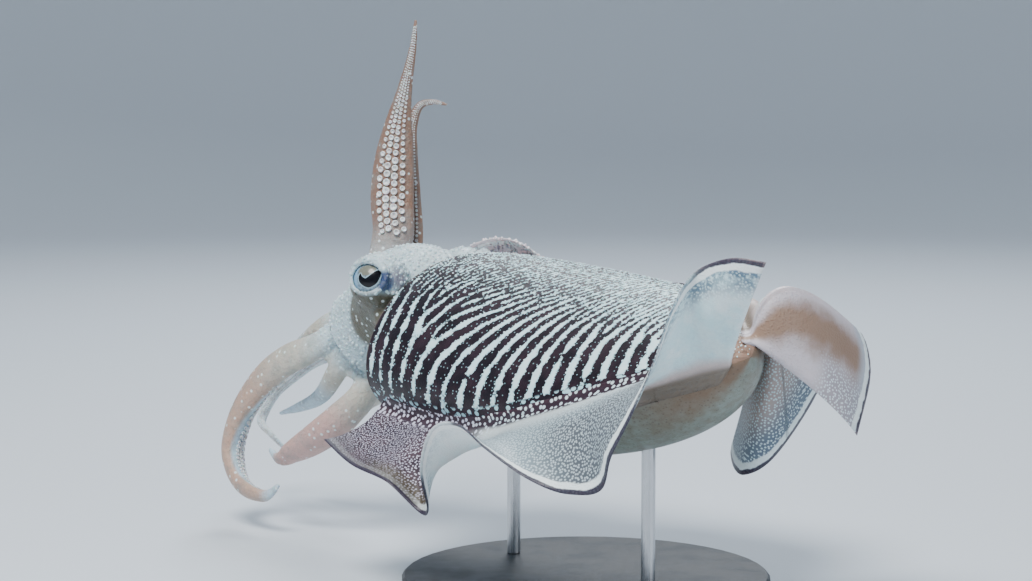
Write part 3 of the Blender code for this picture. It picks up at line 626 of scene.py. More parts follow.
def lookup(grid, row, column):
    """Values of a grid at fractional places."""
    row = np.clip(row, 0, grid.shape[0] - 1.001)
    column = np.clip(column, 0, grid.shape[1] - 1.001)
    i = row.astype(int)
    j = column.astype(int)
    a = row - i
    b = column - j
    low = grid[i, j] * (1 - b) + grid[i, j + 1] * b
    high = grid[i + 1, j] * (1 - b) + grid[i + 1, j + 1] * b
    return low * (1 - a) + high * a


# Mantle

def half_width(station):
    tail = np.clip((station - 0.26) / 0.74, 0, 1)
    front = np.clip((0.26 - station) / 0.26, 0, 1)
    return HALF_WIDTH * (1 - tail ** 2.2) ** 0.6 * (1 - 0.08 * front ** 2)


def back_depth(station):
    tail = np.clip((station - 0.05) / 0.95, 0, 1)
    front = np.clip((0.12 - station) / 0.12, 0, 1)
    return BACK_DEPTH * np.sqrt(1 - tail ** 1.25) * (1 - 0.06 * front ** 2)


def belly_depth(station):
    tail = np.clip((station - 0.3) / 0.7, 0, 1)
    front = np.clip((0.3 - station) / 0.3, 0, 1)
    return BELLY_DEPTH * (1 - tail ** 3.4) ** 0.58 * (1 - 0.10 * front ** 2)


def body_centre(station):
    station = np.asarray(station, float)
    along = (MANTLE_LENGTH * station)[..., None] * AFT
    return FRONT + along - (SAG * np.sin(math.pi * station))[..., None] * UP


def mantle_point(station, angle, inset=0.0):
    """Point on the mantle; angle 0 is the left side, a quarter turn is the back."""
    station, angle = np.broadcast_arrays(np.asarray(station, float), angle)
    depth = np.where(np.sin(angle) >= 0, back_depth(station), belly_depth(station))
    across = (half_width(station) - inset) * np.cos(angle)
    rise = (depth - inset) * np.sin(angle)
    return body_centre(station) + across[..., None] * LEFT + rise[..., None] * UP


def rim_shift(station, angles):
    fade = np.clip(1 - station / 0.10, 0, 1) ** 2
    reach = -RIM_TONGUE * fade * np.clip(np.sin(angles), 0, 1) ** 3
    return reach[..., None] * AFT


def table_value(rows, first, second, table):
    """Value between the entries of a table, by its rows' and columns' places."""
    i = np.interp(rows, first, np.arange(len(first)))
    return lookup(np.array(table, float), i, np.interp(second[0], second[1], second[2]))


def side_girth(y):
    """Girth from the nearer side of the pattern, on both sides of its mirror line."""
    return np.where(y < MIRROR, y, (BACK_GIRTH - y) * MIRROR / (BACK_GIRTH - MIRROR))


def band_plan(x, girth):
    """Lean of the bands from the girth line in radians, their spacing and white share."""
    station = x * MM / MANTLE_LENGTH
    columns = np.arange(len(LEAN_GIRTH))
    lean = table_value(station, LEAN_X, (girth, LEAN_GIRTH, columns), LEAN)
    spacing = np.interp(girth, SPACING_GIRTH, SPACING)
    spacing = spacing * np.interp(station, *np.transpose(SPACING_ALONG))
    share = np.interp(girth, *np.transpose(WHITE_SHARE))
    share = share * np.interp(station, *np.transpose(WHITE_ALONG))
    return np.radians(lean), spacing, share


def local_waves(field, weights, two_sided):
    """Keep, at each place, only the waves with the lean and spacing planned there."""
    along_x = np.fft.fftfreq(field.shape[0], PATTERN_STEP)[:, None]
    along_y = np.fft.fftfreq(field.shape[1], PATTERN_STEP)[None]
    if two_sided:
        along_y = along_y[:, :field.shape[1] // 2 + 1]
        spectrum = np.fft.rfft2(field)
    else:
        spectrum = np.fft.fft2(field)
    total = np.zeros(field.shape, float if two_sided else complex)
    for (lean, wave), weight in weights.items():
        normal = (math.cos(lean), -math.sin(lean))
        forth = along_x * normal[0] + along_y * normal[1]
        across = along_y * normal[0] - along_x * normal[1]
        pitch = 1 / wave
        side = np.exp(-across ** 2 / (2 * (SIDE_SPREAD * pitch) ** 2))
        width = 2 * (WAVE_SPREAD * pitch) ** 2
        band = np.exp(-(forth - pitch) ** 2 / width) * side
        if two_sided:
            band = band + np.exp(-(forth + pitch) ** 2 / width) * side
            total += weight * np.fft.irfft2(spectrum * band, s=field.shape)
        else:
            total += weight * np.fft.ifft2(spectrum * band)
    return total


def pattern_places():
    """Places in mm on the unrolled back, at each point of the pattern's grid."""
    count_x = int((MANTLE_LENGTH / MM + 2 * PATTERN_MARGIN) / PATTERN_STEP)
    count_y = int((BACK_GIRTH + 2 * PATTERN_MARGIN) / PATTERN_STEP) // 2 * 2
    x = np.arange(count_x) * PATTERN_STEP - PATTERN_MARGIN
    y = np.arange(count_y) * PATTERN_STEP - PATTERN_MARGIN
    return np.meshgrid(x, y, indexing="ij")


def wave_weights(lean, spacing):
    """How much each lean and wavelength counts at each place."""
    lean_at = np.clip((lean - LEANS[0]) / (LEANS[1] - LEANS[0]), 0, len(LEANS) - 1.001)
    wave_at = np.interp(np.log(spacing), np.log(WAVES), np.arange(len(WAVES)))
    weights = {}
    for a, angle in enumerate(LEANS):
        for b, wave in enumerate(WAVES):
            weight = np.clip(1 - np.abs(lean_at - a), 0, 1)
            weight = weight * np.clip(1 - np.abs(wave_at - b), 0, 1)
            if weight.max() > 0:
                weights[(angle, wave)] = weight
    return weights


def grow_waves(x, girth, lean, weights, rng):
    """Waves of the planned leans and spacings, grown from the marks and seeded noise."""
    marks = np.array(BAND_MARKS) * MANTLE_LENGTH / MM
    shifted = x - (girth - MARK_GIRTH) * np.tan(lean)
    turns = np.interp(shifted, marks, np.arange(len(marks)))
    start = np.where(girth < MARKED_GIRTH, np.cos(2 * math.pi * turns), 0)
    field = SEED_NOISE * rng.normal(size=x.shape) + start
    for _ in range(PATTERN_ROUNDS):
        field = local_waves(field, weights, True)
        field = np.tanh(2 * field / field.std())
    return local_waves(field, weights, False)


def grow_bands():
    """Distance in mm to the nearest band edge, over the unrolled back."""
    x, y = pattern_places()
    rng = np.random.default_rng(PATTERN_SEED)
    girth = np.clip(side_girth(y), 0, None)
    lean, spacing, share = band_plan(np.clip(x, 0, MANTLE_LENGTH / MM), girth)
    lean = lean * np.where(y < MIRROR, 1, -1)
    wave = grow_waves(x, girth, lean, wave_weights(lean, spacing), rng)
    size = np.abs(wave)
    swing = np.real(wave) / (size + 0.15 * size.mean())
    distance = (swing - np.cos(math.pi * share)) * spacing / (2 * math.pi)
    breaks, wobble, knobs = (grid_noise(x.shape, PATTERN_STEP, form, rng)
                             for form in (BREAK_SIZE, WOBBLE_SIZE, KNOB_SIZE))
    rough = 0.6 * wobble + 0.35 * knobs
    distance = distance + rough * smoothstep(62, 40, girth)
    return distance + 0.55 * (breaks - 0.25) * smoothstep(48, 62, girth)


def mantle_places():
    """Stations and angles of the fine grid on the mantle."""
    turn = np.linspace(0, 1, MANTLE_RINGS + 1)
    start = RIM_WALL / 2 / MANTLE_LENGTH
    stations = start + (1 - start) * (1 - (1 - turn) ** RING_EASE)
    back = np.linspace(0, math.pi, BACK_SIDES, endpoint=False)
    belly = np.linspace(math.pi, 2 * math.pi, BELLY_SIDES, endpoint=False)
    return stations[:-1], np.concatenate((back, belly))


def arc_share(angle, width, depth):
    """Share of a half ellipse's length reached at each angle."""
    fine = np.linspace(0, math.pi, 721)
    steps = np.hypot(np.diff(width * np.cos(fine)), np.diff(depth * np.sin(fine)))
    run = np.concatenate(([0], np.cumsum(steps)))
    return np.interp(angle, fine, run / run[-1])


def fin_root_girth(stations):
    """Girth from the mantle's side up to the root of the fins, in mm."""
    knots, degrees = np.transpose(FIN_ROOT_LINE)
    rise = np.radians(smooth_curve(knots, degrees, stations))
    above = BACK_GIRTH * arc_share(np.clip(rise, 0, None), HALF_WIDTH, BACK_DEPTH)
    return above - BELLY_GIRTH * arc_share(np.clip(-rise, 0, None), HALF_WIDTH, BELLY_DEPTH)


def unrolled(stations, angles):
    """Places on the mantle in mm: aft, and the girth from its left side over the back."""
    over = np.clip(angles, 0, math.pi)
    below = np.clip(angles - math.pi, 0, math.pi)
    girth = np.where(
        angles < math.pi,
        BACK_GIRTH * arc_share(over, HALF_WIDTH, BACK_DEPTH),
        BACK_GIRTH + BELLY_GIRTH * arc_share(below, HALF_WIDTH, BELLY_DEPTH))
    return np.meshgrid(stations * MANTLE_LENGTH / MM, girth, indexing="ij")


def mantle_marks(stations, angles, bands):
    """Distances in mm that the mantle's material reads, at each point of its grid."""
    x, y = unrolled(stations, angles)
    up = np.where(y < BACK_GIRTH, np.minimum(y, BACK_GIRTH - y),
                  -np.minimum(y - BACK_GIRTH, BACK_GIRTH + BELLY_GIRTH - y))
    y = np.where(y > BACK_GIRTH + BELLY_GIRTH / 2, y - BACK_GIRTH - BELLY_GIRTH, y)
    band = lookup(bands, (x + PATTERN_MARGIN) / PATTERN_STEP,
                  (np.clip(y, -20, BACK_GIRTH + 20) + PATTERN_MARGIN) / PATTERN_STEP)
    up = up - fin_root_girth(stations)[:, None]
    end = np.interp(x, *np.transpose(PEARL_TOP))
    band = np.minimum(band, (up - end) * 0.7)
    low = smoothstep(end + 1, end - 1, up) * smoothstep(-1, 0.5, up)
    return {"band": band, "up": up, "low": low, "aft": x,
            "skin_mm": np.stack((x, y, 0 * x), axis=-1)}


def rim_rings(station, angles):
    """Rings from the pocket's floor out to its opening, and round the rim."""
    rim = rim_shift(np.zeros(1), angles)
    rings = []
    for share in np.linspace(1, 0, POCKET_RINGS)[:-1]:
        depth = POCKET_DEPTH * share / MANTLE_LENGTH
        ring = mantle_point(depth, angles, RIM_WALL * (1 + 0.5 * share))
        rings.append(ring + (1 - share) * rim)
    for turn in np.linspace(math.pi, 0, LIP_RINGS)[:-1]:
        inset = RIM_WALL / 2 * (1 - math.cos(turn))
        ring = mantle_point(station, angles, inset) + rim
        rings.append(ring - RIM_WALL / 2 * math.sin(turn) * AFT)
    return np.array(rings)


def spread(values, extra, first):
    """Values of all rings: the first ones' alike, then the outer rings', then both ends'."""
    grown = np.concatenate((np.repeat(first[None], extra, axis=0), values))
    flat = grown.reshape(-1, *grown.shape[2:])
    return np.concatenate((flat, flat[:1], flat[-1:]))


def build_mantle(look, bands):
    """Mantle skin, with its outer points, the ways out of them and their numbers."""
    stations, angles = mantle_places()
    marks = mantle_marks(stations, angles, bands)
    outer = mantle_point(stations[:, None], angles[None])
    outer = outer + rim_shift(stations[:, None], angles[None])
    outward = unit(outer - body_centre(stations)[:, None])
    relief = (smoothstep(-0.3, 0.5, marks["band"]) - 1) * BAND_RELIEF
    outer = outer + relief[:, :, None] * outward
    rings = rim_rings(stations[0], angles)
    item = tube("mantle_skin", np.concatenate((rings, outer)), look, mantle_point(1.0, 0.0))
    for name, values in marks.items():
        kind = "FLOAT_VECTOR" if values.ndim == 3 else "FLOAT"
        store(item, name, spread(values, len(rings), values[0]), kind)
    outside = np.zeros(outer.shape[:2])
    store(item, "inside", spread(outside, len(rings), outside[0] + 1))
    return item, outer, outward, marks


# Fins

def fin_root(side, stations, turn=0.0):
    """Root line of a fin on the flank, or a line turned up the flank from it."""
    stations = np.clip(stations, 0, 1)
    knots, degrees = np.transpose(FIN_ROOT_LINE)
    rise = np.radians(smooth_curve(knots, degrees, stations)) + turn
    return mantle_point(stations, rise if side > 0 else math.pi - rise)


def fin_root_frame(side, stations):
    """Directions at a fin's root: up the flank and square out of it."""
    step = 0.001
    along = fin_root(side, stations + step) - fin_root(side, stations - step)
    flank = unit(fin_root(side, stations, step) - fin_root(side, stations, -step))
    return flank, unit(np.cross(along, flank) * side)


def fin_surface(table, side, stations, shares):
    """Middle surface of a fin as a grid of columns by rows."""
    table = np.array(table)
    way = smooth_curve(table[:, 0], table[:, 1:], stations) * MM
    outward = fin_root_frame(side, stations)[1]
    root = fin_root(side, stations) + GAP * 1.1 * outward
    level = mantle_point(np.clip(stations, 0, 1), 0.0 if side > 0 else math.pi)
    margin = level + way[:, :1] * AFT + way[:, 1:2] * LEFT * side + way[:, 2:3] * UP
    reach = np.linalg.norm(margin - root, axis=1)[:, None]
    bend = root + FIN_BEND * reach * outward + way[:, 3:4] * UP
    grid = []
    for q in shares:
        if q < 0:
            grid.append(root + FIN_SINK * q * outward)
        else:
            grid.append(root * (1 - q) ** 2 + bend * 2 * q * (1 - q) + margin * q ** 2)
    return np.stack(grid, axis=1)


def flatten(grid):
    """Lay a bent sheet flat in mm, with its lengths kept as nearly as they can be."""
    columns, rows = grid.shape[:2]
    points = grid.reshape(-1, 3) / MM
    order = np.arange(columns * rows).reshape(columns, rows)
    links = [(order[1:], order[:-1]), (order[:, 1:], order[:, :-1]),
             (order[1:, 1:], order[:-1, :-1]), (order[1:, :-1], order[:-1, 1:])]
    first = np.concatenate([a.ravel() for a, b in links])
    second = np.concatenate([b.ravel() for a, b in links])
    length = np.linalg.norm(points[first] - points[second], axis=1)
    steps = np.linalg.norm(np.diff(grid, axis=0), axis=2).mean(axis=1) / MM
    across = np.linalg.norm(np.diff(grid, axis=1), axis=2) / MM
    flat = np.zeros((columns, rows, 2))
    flat[1:, :, 0] = np.cumsum(steps)[:, None]
    flat[:, 1:, 1] = np.cumsum(across, axis=1)
    flat = flat.reshape(-1, 2)
    count = np.bincount(first, minlength=len(flat)) + np.bincount(second, minlength=len(flat))
    for _ in range(FLAT_ROUNDS):
        offset = flat[first] - flat[second]
        long = np.maximum(np.linalg.norm(offset, axis=1), 1e-6)
        push = offset * (0.5 * (length / long - 1))[:, None]
        move = np.zeros_like(flat)
        np.add.at(move, first, push)
        np.add.at(move, second, -push)
        flat += FLAT_PULL * move / count[:, None]
    return flat.reshape(columns, rows, 2)


def flat_fin(stations, grid, folds):
    """Flat places of a fin's points, each stretch between two folds laid out on its own."""
    flat = np.zeros(grid.shape[:2] + (2,))
    ends = np.searchsorted(stations, (0, *folds, 2))
    rows = np.unique(np.linspace(0, grid.shape[1] - 1, FLAT_ROWS).astype(int))
    for number, (low, high) in enumerate(zip(ends[:-1], ends[1:])):
        columns = np.unique(np.linspace(low, high - 1, FLAT_COLUMNS).astype(int))
        coarse = flatten(grid[np.ix_(columns, rows)]) + (FLAT_APART * number, 0)
        wide = smooth_curve(rows, coarse.transpose(1, 0, 2), np.arange(grid.shape[1]))
        flat[low:high] = smooth_curve(columns, wide.transpose(1, 0, 2), np.arange(low, high))
    return flat


def fin_normals(table, side, stations, shares, grid):
    """Normals of a fin's middle surface, turned up the flank at its root."""
    reach = 0.003
    ahead = fin_surface(table, side, stations + reach, shares)
    behind = fin_surface(table, side, stations - reach, shares)
    normals = unit(np.cross(ahead - behind, np.gradient(grid, axis=1)))
    normals *= np.sign((normals[:, 5] @ UP).mean())
    near_root = smoothstep(0.12, 0.0, np.clip(shares, 0, 1))[None, :, None]
    flank = fin_root_frame(side, stations)[0][:, None]
    return unit(normals * (1 - near_root) + flank * near_root)


def fin_reach(grid, shares):
    """Distances on a fin from its root, its margin and the nearer of its two ends."""
    steps = np.linalg.norm(np.diff(grid, axis=1), axis=2)
    out = np.concatenate((np.zeros((len(grid), 1)), np.cumsum(steps, axis=1)), axis=1)
    middle = int(np.searchsorted(shares, 0.5))
    along = np.linalg.norm(np.diff(grid[:, middle], axis=0), axis=1)
    along = np.concatenate(([0], np.cumsum(along)))[:, None] + 0 * out
    return out, out[:, -1:] - out, np.minimum(along, along[-1:] - along)


def fin_half(shares, out, edge, end):
    """Half thickness of a fin, and the part of it that is the fillet at its root."""
    knots, thickness = np.transpose(FIN_THICKNESS)
    half = np.interp(shares, knots, thickness)[None] * MM / 2 + 0 * out
    arch = np.clip(1 - out / FIN_FILLET, 0, 1)
    fillet = FIN_FILLET * (1 - np.sqrt(1 - arch ** 2)) * smoothstep(0, 10 * MM, end)
    rounding = np.sqrt(1 - np.clip(1 - edge / (0.5 * MM), 0, 1) ** 2)
    ending = np.sqrt(1 - np.clip(1 - end / (1.2 * MM), 0, 1) ** 2)
    return (half * np.maximum(rounding, 0.2) + fillet) * np.maximum(ending, 0.15), fillet


def build_fin(name, table, side, look):
    """One whole fin as a thin closed sheet that spreads into the body at its root."""
    stations = np.linspace(table[0][0], table[-1][0], FIN_COLUMNS)
    shares = np.concatenate(((-1, -0.5), np.linspace(0, 1, FIN_ROWS) ** FIN_ROW_EASE))
    grid = fin_surface(table, side, stations, shares)
    normals = fin_normals(table, side, stations, shares, grid)
    out, edge, end = fin_reach(grid, shares)
    half, fillet = fin_half(shares, out, edge, end)
    item = closed_sheet(name, grid, normals * half[:, :, None], look)

    def twice(values):
        return np.concatenate((values.ravel(), values.ravel()))

    climb = np.maximum(fillet - 0.3 * MM, 0)
    store(item, "root_mm", twice((out - climb) / MM))
    store(item, "edge_mm", twice(edge / MM))
    store(item, "aft", twice(stations[:, None] + 0 * out))
    below = np.repeat((0.0, 1.0), out.size)
    turned = twice(smoothstep(*TAIL_TURN, stations)[:, None] + 0 * out) if side < 0 else 0
    store(item, "under", below + turned - 2 * below * turned)
    flat = flat_fin(stations, grid, FIN_FOLDS[side])
    flat[:, :, 1] -= climb / MM
    place = np.stack((twice(flat[:, :, 0]), twice(flat[:, :, 1]), below * 60), axis=-1)
    store(item, "skin_mm", place, "FLOAT_VECTOR")
    return item


# Head, arms and web

def section_frame(bank, pitch):
    left = np.array((0, -1, 0))
    rise = np.array((-math.sin(pitch), 0, math.cos(pitch)))
    turned_left = left * math.cos(bank) - rise * math.sin(bank)
    turned_up = rise * math.cos(bank) + left * math.sin(bank)
    return turned_left, turned_up


def oval(centre, left, rise, width, above, below, sides):
    angles = round_angles(sides)
    depth = np.where(np.sin(angles) >= 0, above, below)
    across = (width * np.cos(angles))[:, None] * left
    return centre + across + (depth * np.sin(angles))[:, None] * rise


def crown_frame():
    forward = np.array((-math.cos(CROWN_PITCH), 0, -math.sin(CROWN_PITCH)))
    left = np.array((0, -1.0, 0))
    rise = np.cross(left, forward)
    return forward, left, rise if rise[2] > 0 else -rise


def head_tube():
    floor = body_centre(POCKET_DEPTH / MANTLE_LENGTH) - GAP * AFT
    knots = [oval(floor + NECK_RISE * UP, LEFT, UP, *NECK_SIZE, NECK_SIZE[1], HEAD_SIDES)]
    for ahead, above, bank, pitch, width, high, low in HEAD_SECTIONS:
        centre = FRONT + np.array((-ahead, 0, above)) * MM
        left, rise = section_frame(math.radians(bank), math.radians(pitch))
        knots.append(oval(centre, left, rise, width * MM, high * MM, low * MM, HEAD_SIDES))
    left, rise = crown_frame()[1:]
    knots.append(oval(CROWN, left, rise, CROWN_RADIUS, CROWN_RADIUS, CROWN_RADIUS, HEAD_SIDES))
    where = np.linspace(0, len(knots) - 1, 12 * len(knots) - 11)
    return tube("head_core", smooth_curve(np.arange(len(knots)), np.array(knots), where))


def eye_parts(side):
    flip = np.array((1, -side, 1))
    return EYE_BULGE_CENTRE * flip, unit(EYE_AIM) * flip


def ball(name, centre, radius, across=32, around=48):
    body = bmesh.new()
    bmesh.ops.create_uvsphere(body, u_segments=around, v_segments=across, radius=radius,
                              matrix=Matrix.Translation(Vector(centre)))
    mesh = bpy.data.meshes.new(name)
    body.to_mesh(mesh)
    body.free()
    return add_object(name, mesh)


def lid_ring(name, centre, aim):
    """Fleshy rim round a wide opening, heavier above, where it hangs over the eye."""
    across = unit(np.cross(aim, (0, 0, 1)))
    centre = centre + LID_TAILWARD * across * np.sign(across[0])
    rise = np.cross(across, aim)
    rings = []
    for turn in round_angles(LID_GRID[0]):
        outward = across * math.cos(turn) + rise * math.sin(turn)
        above = max(0.0, math.sin(turn))
        reach = LID_RADIUS - (LID_CLOSES if above > 0 else LOWER_LID_CLOSES) * math.sin(turn) ** 2
        thick = LID_THICKNESS + UPPER_LID_EXTRA * above
        angles = round_angles(LID_GRID[1])[:, None]
        spokes = outward * np.cos(angles) + aim * np.sin(angles)
        rings.append(centre + outward * reach + 0.6 * MM * above * aim + thick * spokes)
    points = np.array(rings).reshape(-1, 3)
    faces = grid_faces(len(rings) + 1, LID_GRID[1], True) % len(points)
    item = mesh_object(name, points, faces)
    face_outwards(item)
    return item


def arm_root(name):
    forward, left, rise = crown_frame()
    side = 1 if "left" in name else -1
    angle = math.radians(22.5 + 45 * (int(name[-1]) - 1))
    outward = math.cos(angle) * rise + math.sin(angle) * side * left
    return CROWN + ARM_RING * outward + GAP * forward, outward


def arm_line(name, way):
    """Evenly spaced points from the crown to the arm's tip."""
    forward = crown_frame()[0]
    root = arm_root(name)[0]
    knots = np.vstack([root, root + ARM_LEAD * 0.5 * forward, np.array(way) * MM])
    steps = np.concatenate(([0], np.cumsum(np.linalg.norm(np.diff(knots, axis=0), axis=1))))
    dense = smooth_curve(steps, knots, np.linspace(0, steps[-1], 400))
    run = np.concatenate(([0], np.cumsum(np.linalg.norm(np.diff(dense, axis=0), axis=1))))
    count = int(round(run[-1] / ARM_STEP))
    places = np.linspace(0, run[-1], count + 1)
    line = np.stack([np.interp(places, run, dense[:, k]) for k in range(3)], axis=1)
    return line, places / run[-1], run[-1]


def arm_half_width(share, sizes, broadest):
    knots = (0, broadest, ARM_WHIP, 1)
    return smooth_curve(knots, sizes, np.atleast_1d(share)) * MM


def arm_frames(name, line, facing):
    outward = arm_root(name)[1]
    forward = np.gradient(line, axis=0)
    forward[0] = crown_frame()[0]
    forward = unit(forward)
    oral = []
    for k, tangent in enumerate(forward):
        share = min(1.0, 1.6 * k / (len(line) - 1))
        wish = -outward * (1 - share) + unit(np.array(facing)) * share
        wish = wish - tangent * (wish @ tangent)
        oral.append(unit(wish))
    oral = np.array(oral)
    return forward, np.cross(forward, oral), oral


def arm_ring(centre, side, oral, width, sides):
    angles = round_angles(sides)
    depth = np.where(np.sin(angles) >= 0, ARM_ORAL_FLATNESS, ARM_FLATNESS) * width
    across = (width * np.cos(angles))[:, None] * side
    return centre + across + (depth * np.sin(angles))[:, None] * oral


class Arm:
    """Line, directions and sizes of one arm."""

    def __init__(self, name):
        way, self.sizes, self.broadest, facing, self.outer, self.inner = ARMS[name]
        self.name = name
        self.line, self.shares, self.length = arm_line(name, way)
        self.forward, self.side, self.oral = arm_frames(name, self.line, facing)
        self.widths = arm_half_width(self.shares, self.sizes, self.broadest)

    def tube(self):
        rings = []
        base = self.line[0] - 4 * MM * self.forward[0]
        rings.append(arm_ring(base, self.side[0], self.oral[0], self.widths[0], ARM_SIDES))
        for k in range(len(self.line)):
            rings.append(arm_ring(self.line[k], self.side[k], self.oral[k],
                                  self.widths[k], ARM_SIDES))
        end = self.widths[-1]
        for reach in (0.4, 0.7, 0.9):
            centre = self.line[-1] + reach * end * self.forward[-1]
            rings.append(arm_ring(centre, self.side[-1], self.oral[-1],
                                  end * math.sqrt(1 - reach ** 2), ARM_SIDES))
        return tube(self.name + "_core", rings)


def web_sheet(first, second):
    """Membrane between the roots of two neighbouring arms."""
    grid = []
    for share in np.linspace(0, WEB_SHARE, WEB_GRID[0]):
        a = smooth_curve(first.shares, first.line, np.array([share]))[0]
        b = smooth_curve(second.shares, second.line, np.array([share]))[0]
        row = []
        for span in np.linspace(0, 1, WEB_GRID[1]):
            sag = math.sin(math.pi * span) * share / WEB_SHARE
            point = a * (1 - span) + b * span
            row.append(point + sag * WEB_SAG * np.linalg.norm(a - b) * -crown_frame()[0])
        grid.append(row)
    grid = np.array(grid)
    normals = np.cross(np.gradient(grid, axis=0), np.gradient(grid, axis=1))
    sizes = np.linalg.norm(normals, axis=2)[:, :, None]
    normals = normals / np.maximum(sizes, 1e-12)
    return closed_sheet("web", grid, normals * WEB_THICKNESS / 2)


def combine(item, pieces, operation):
    group = bpy.data.collections.new("pieces")
    for piece in pieces:
        for home in list(piece.users_collection):
            home.objects.unlink(piece)
        group.objects.link(piece)
    bpy.context.scene.collection.children.link(group)
    step = item.modifiers.new("combine", "BOOLEAN")
    step.operation = operation
    step.operand_type = "COLLECTION"
    step.collection = group
    step.solver = "EXACT"
    apply_modifiers(item)
    for piece in list(group.objects):
        bpy.data.objects.remove(piece, do_unlink=True)
    bpy.data.collections.remove(group)


def join(items, name):
    """One object from several meshes."""
    body = bmesh.new()
    for item in items:
        body.from_mesh(item.data)
        bpy.data.objects.remove(item, do_unlink=True)
    mesh = bpy.data.meshes.new(name)
    body.to_mesh(mesh)
    body.free()
    return add_object(name, mesh)


def build_head(look, arms):
    """Head, eye bulges, web and arms fused into one skin."""
    core = head_tube()
    bulges = []
    sockets = []
    for side in (1, -1):
        centre, aim = eye_parts(side)
        bulges.append(ball("bulge", centre, EYE_BULGE_RADIUS))
        bulges.append(lid_ring("lid", centre + aim * (EYE_BULGE_RADIUS - 2 * MM), aim))
        sockets.append(ball("socket", centre + aim * EYE_OFFSET, EYE_RADIUS + GAP))
    combine(core, bulges, "UNION")
    combine(core, sockets, "DIFFERENCE")
    pieces = [core] + [arm.tube() for arm in arms.values()]
    for first, second in zip(ARM_ORDER, ARM_ORDER[1:] + ARM_ORDER[:1]):
        if (first, second) != OPEN_PAIR:
            pieces.append(web_sheet(arms[first], arms[second]))
    item = join(pieces, "head_skin")
    step = item.modifiers.new("remesh", "REMESH")
    step.mode = "VOXEL"
    step.voxel_size = HEAD_VOXEL
    apply_modifiers(item)
    item.data.materials.clear()
    item.data.materials.append(look)
    relax(item, 4)
    item.data.shade_smooth()
    return item


def nearest_on_arms(points, arms):
    """The nearest place on an arm's line to each point, and how far away it is."""
    places = [(arm, k) for arm in arms.values() for k in range(len(arm.line))]
    tree = KDTree(len(places))
    for number, (arm, k) in enumerate(places):
        tree.insert(arm.line[k], number)
    tree.balance()
    found = [tree.find(point) for point in points]
    return [places[hit[1]] for hit in found], np.array([hit[2] for hit in found])


def mixed(tint, colour, weight):
    return tint * (1 - weight[:, None]) + np.array(colour) * weight[:, None]


def arm_tints(points, normals, arms):
    """Colour of the nearest arm at each point, and how far the point is on that arm."""
    nearest, away = nearest_on_arms(points, arms)
    share = np.array([arm.shares[k] for arm, k in nearest])
    width = np.array([arm.widths[k] for arm, k in nearest])
    oral = np.array([arm.oral[k] for arm, k in nearest])
    outer = np.array([arm.outer for arm, k in nearest])
    inner = np.array([arm.inner for arm, k in nearest])
    raised = np.array([arm.name in RAISED_ARMS for arm, k in nearest])
    start = np.where(raised, smoothstep(0.08, 0.42, share), smoothstep(0.04, 0.2, share))
    on_arm = start * smoothstep(2.2, 1.4, away / (width + MM))
    tint = mixed(outer, inner, smoothstep(0.35, 0.85, np.sum(normals * oral, axis=1)))
    tint = mixed(tint, BUFF, np.where(raised, 0, 1) * smoothstep(0.45, 0.2, share))
    tint = mixed(tint, BLUE_WHITE, np.where(raised, 0, 1) * smoothstep(0.90, 0.97, share))
    return tint, on_arm


def colour_head(item, arms):
    """Tint each point of head and arms, and say how rough its skin is."""
    points = per_point(item, "co")
    arm_tint, on_arm = arm_tints(points, per_point(item, "normal"), arms)
    tint = mixed(np.array(HEAD_WHITE), arm_tint, on_arm)
    grain = 1 - smoothstep(0.0, 0.5, on_arm)
    for side in (1, -1):
        # The last patch is painted shade in the hollow behind each eye
        for centre, size, soft, colour, smooth in PATCHES:
            middle = np.array(centre) * MM * np.array((1, -side, 1))
            reach = (points - middle) / (np.array(size) * MM)
            weight = smoothstep(1.0, soft, np.linalg.norm(reach, axis=1))
            tint = mixed(tint, colour, weight)
            grain = grain * (1 - smooth * weight)
    store(item, "tint", np.column_stack((tint, np.ones(len(tint)))), "FLOAT_COLOR")
    store(item, "grain", grain)


def sucker_place(arm, at, offset, width):
    """Middle of a sucker on an arm's inner face, and its two ways across and its axis."""
    where = np.array([at / arm.length])
    across = unit(smooth_curve(arm.shares, arm.side, where)[0])
    out = unit(smooth_curve(arm.shares, arm.oral, where)[0])
    face = ARM_ORAL_FLATNESS * width * math.sqrt(1 - offset ** 2)
    centre = smooth_curve(arm.shares, arm.line, where)[0]
    centre = centre + offset * width * across + face * out
    axis = unit(out + offset * SUCKER_LEAN * across)
    front = np.cross(axis, across)
    return centre, (np.cross(front, axis), front, axis)


def sucker_row(arm, row, rng):
    """Place and radius of each sucker in one row of an arm."""
    raised = arm.name in RAISED_ARMS
    place = SUCKER_ROWS[row]
    outer = abs(place) > OUTER_ROW
    offset = place + (SUCKER_SHIFT_RAISED if raised else 0.0)
    at = (SUCKER_START_RAISED if raised else SUCKER_START) + (row % 2) * 1.5 * MM
    while at < arm.length * 0.985:
        share = at / arm.length
        width = float(arm_half_width(share, arm.sizes, arm.broadest)[0])
        radius = max(SUCKER_LEAST, SUCKER_SHARE * width) * rng.uniform(0.9, 1.08)
        radius *= OUTER_ROW_SIZE if outer else 1.0
        yield sucker_place(arm, at, offset, width), radius
        at += SUCKER_PITCH * radius * (OUTER_ROW_PITCH if outer else 1.0)
        at += SUCKER_GAP * max(1.0 - at / SUCKER_CROWDED, 0.0)
        if radius < 1.1 * SUCKER_LEAST:
            at += 0.8 * radius


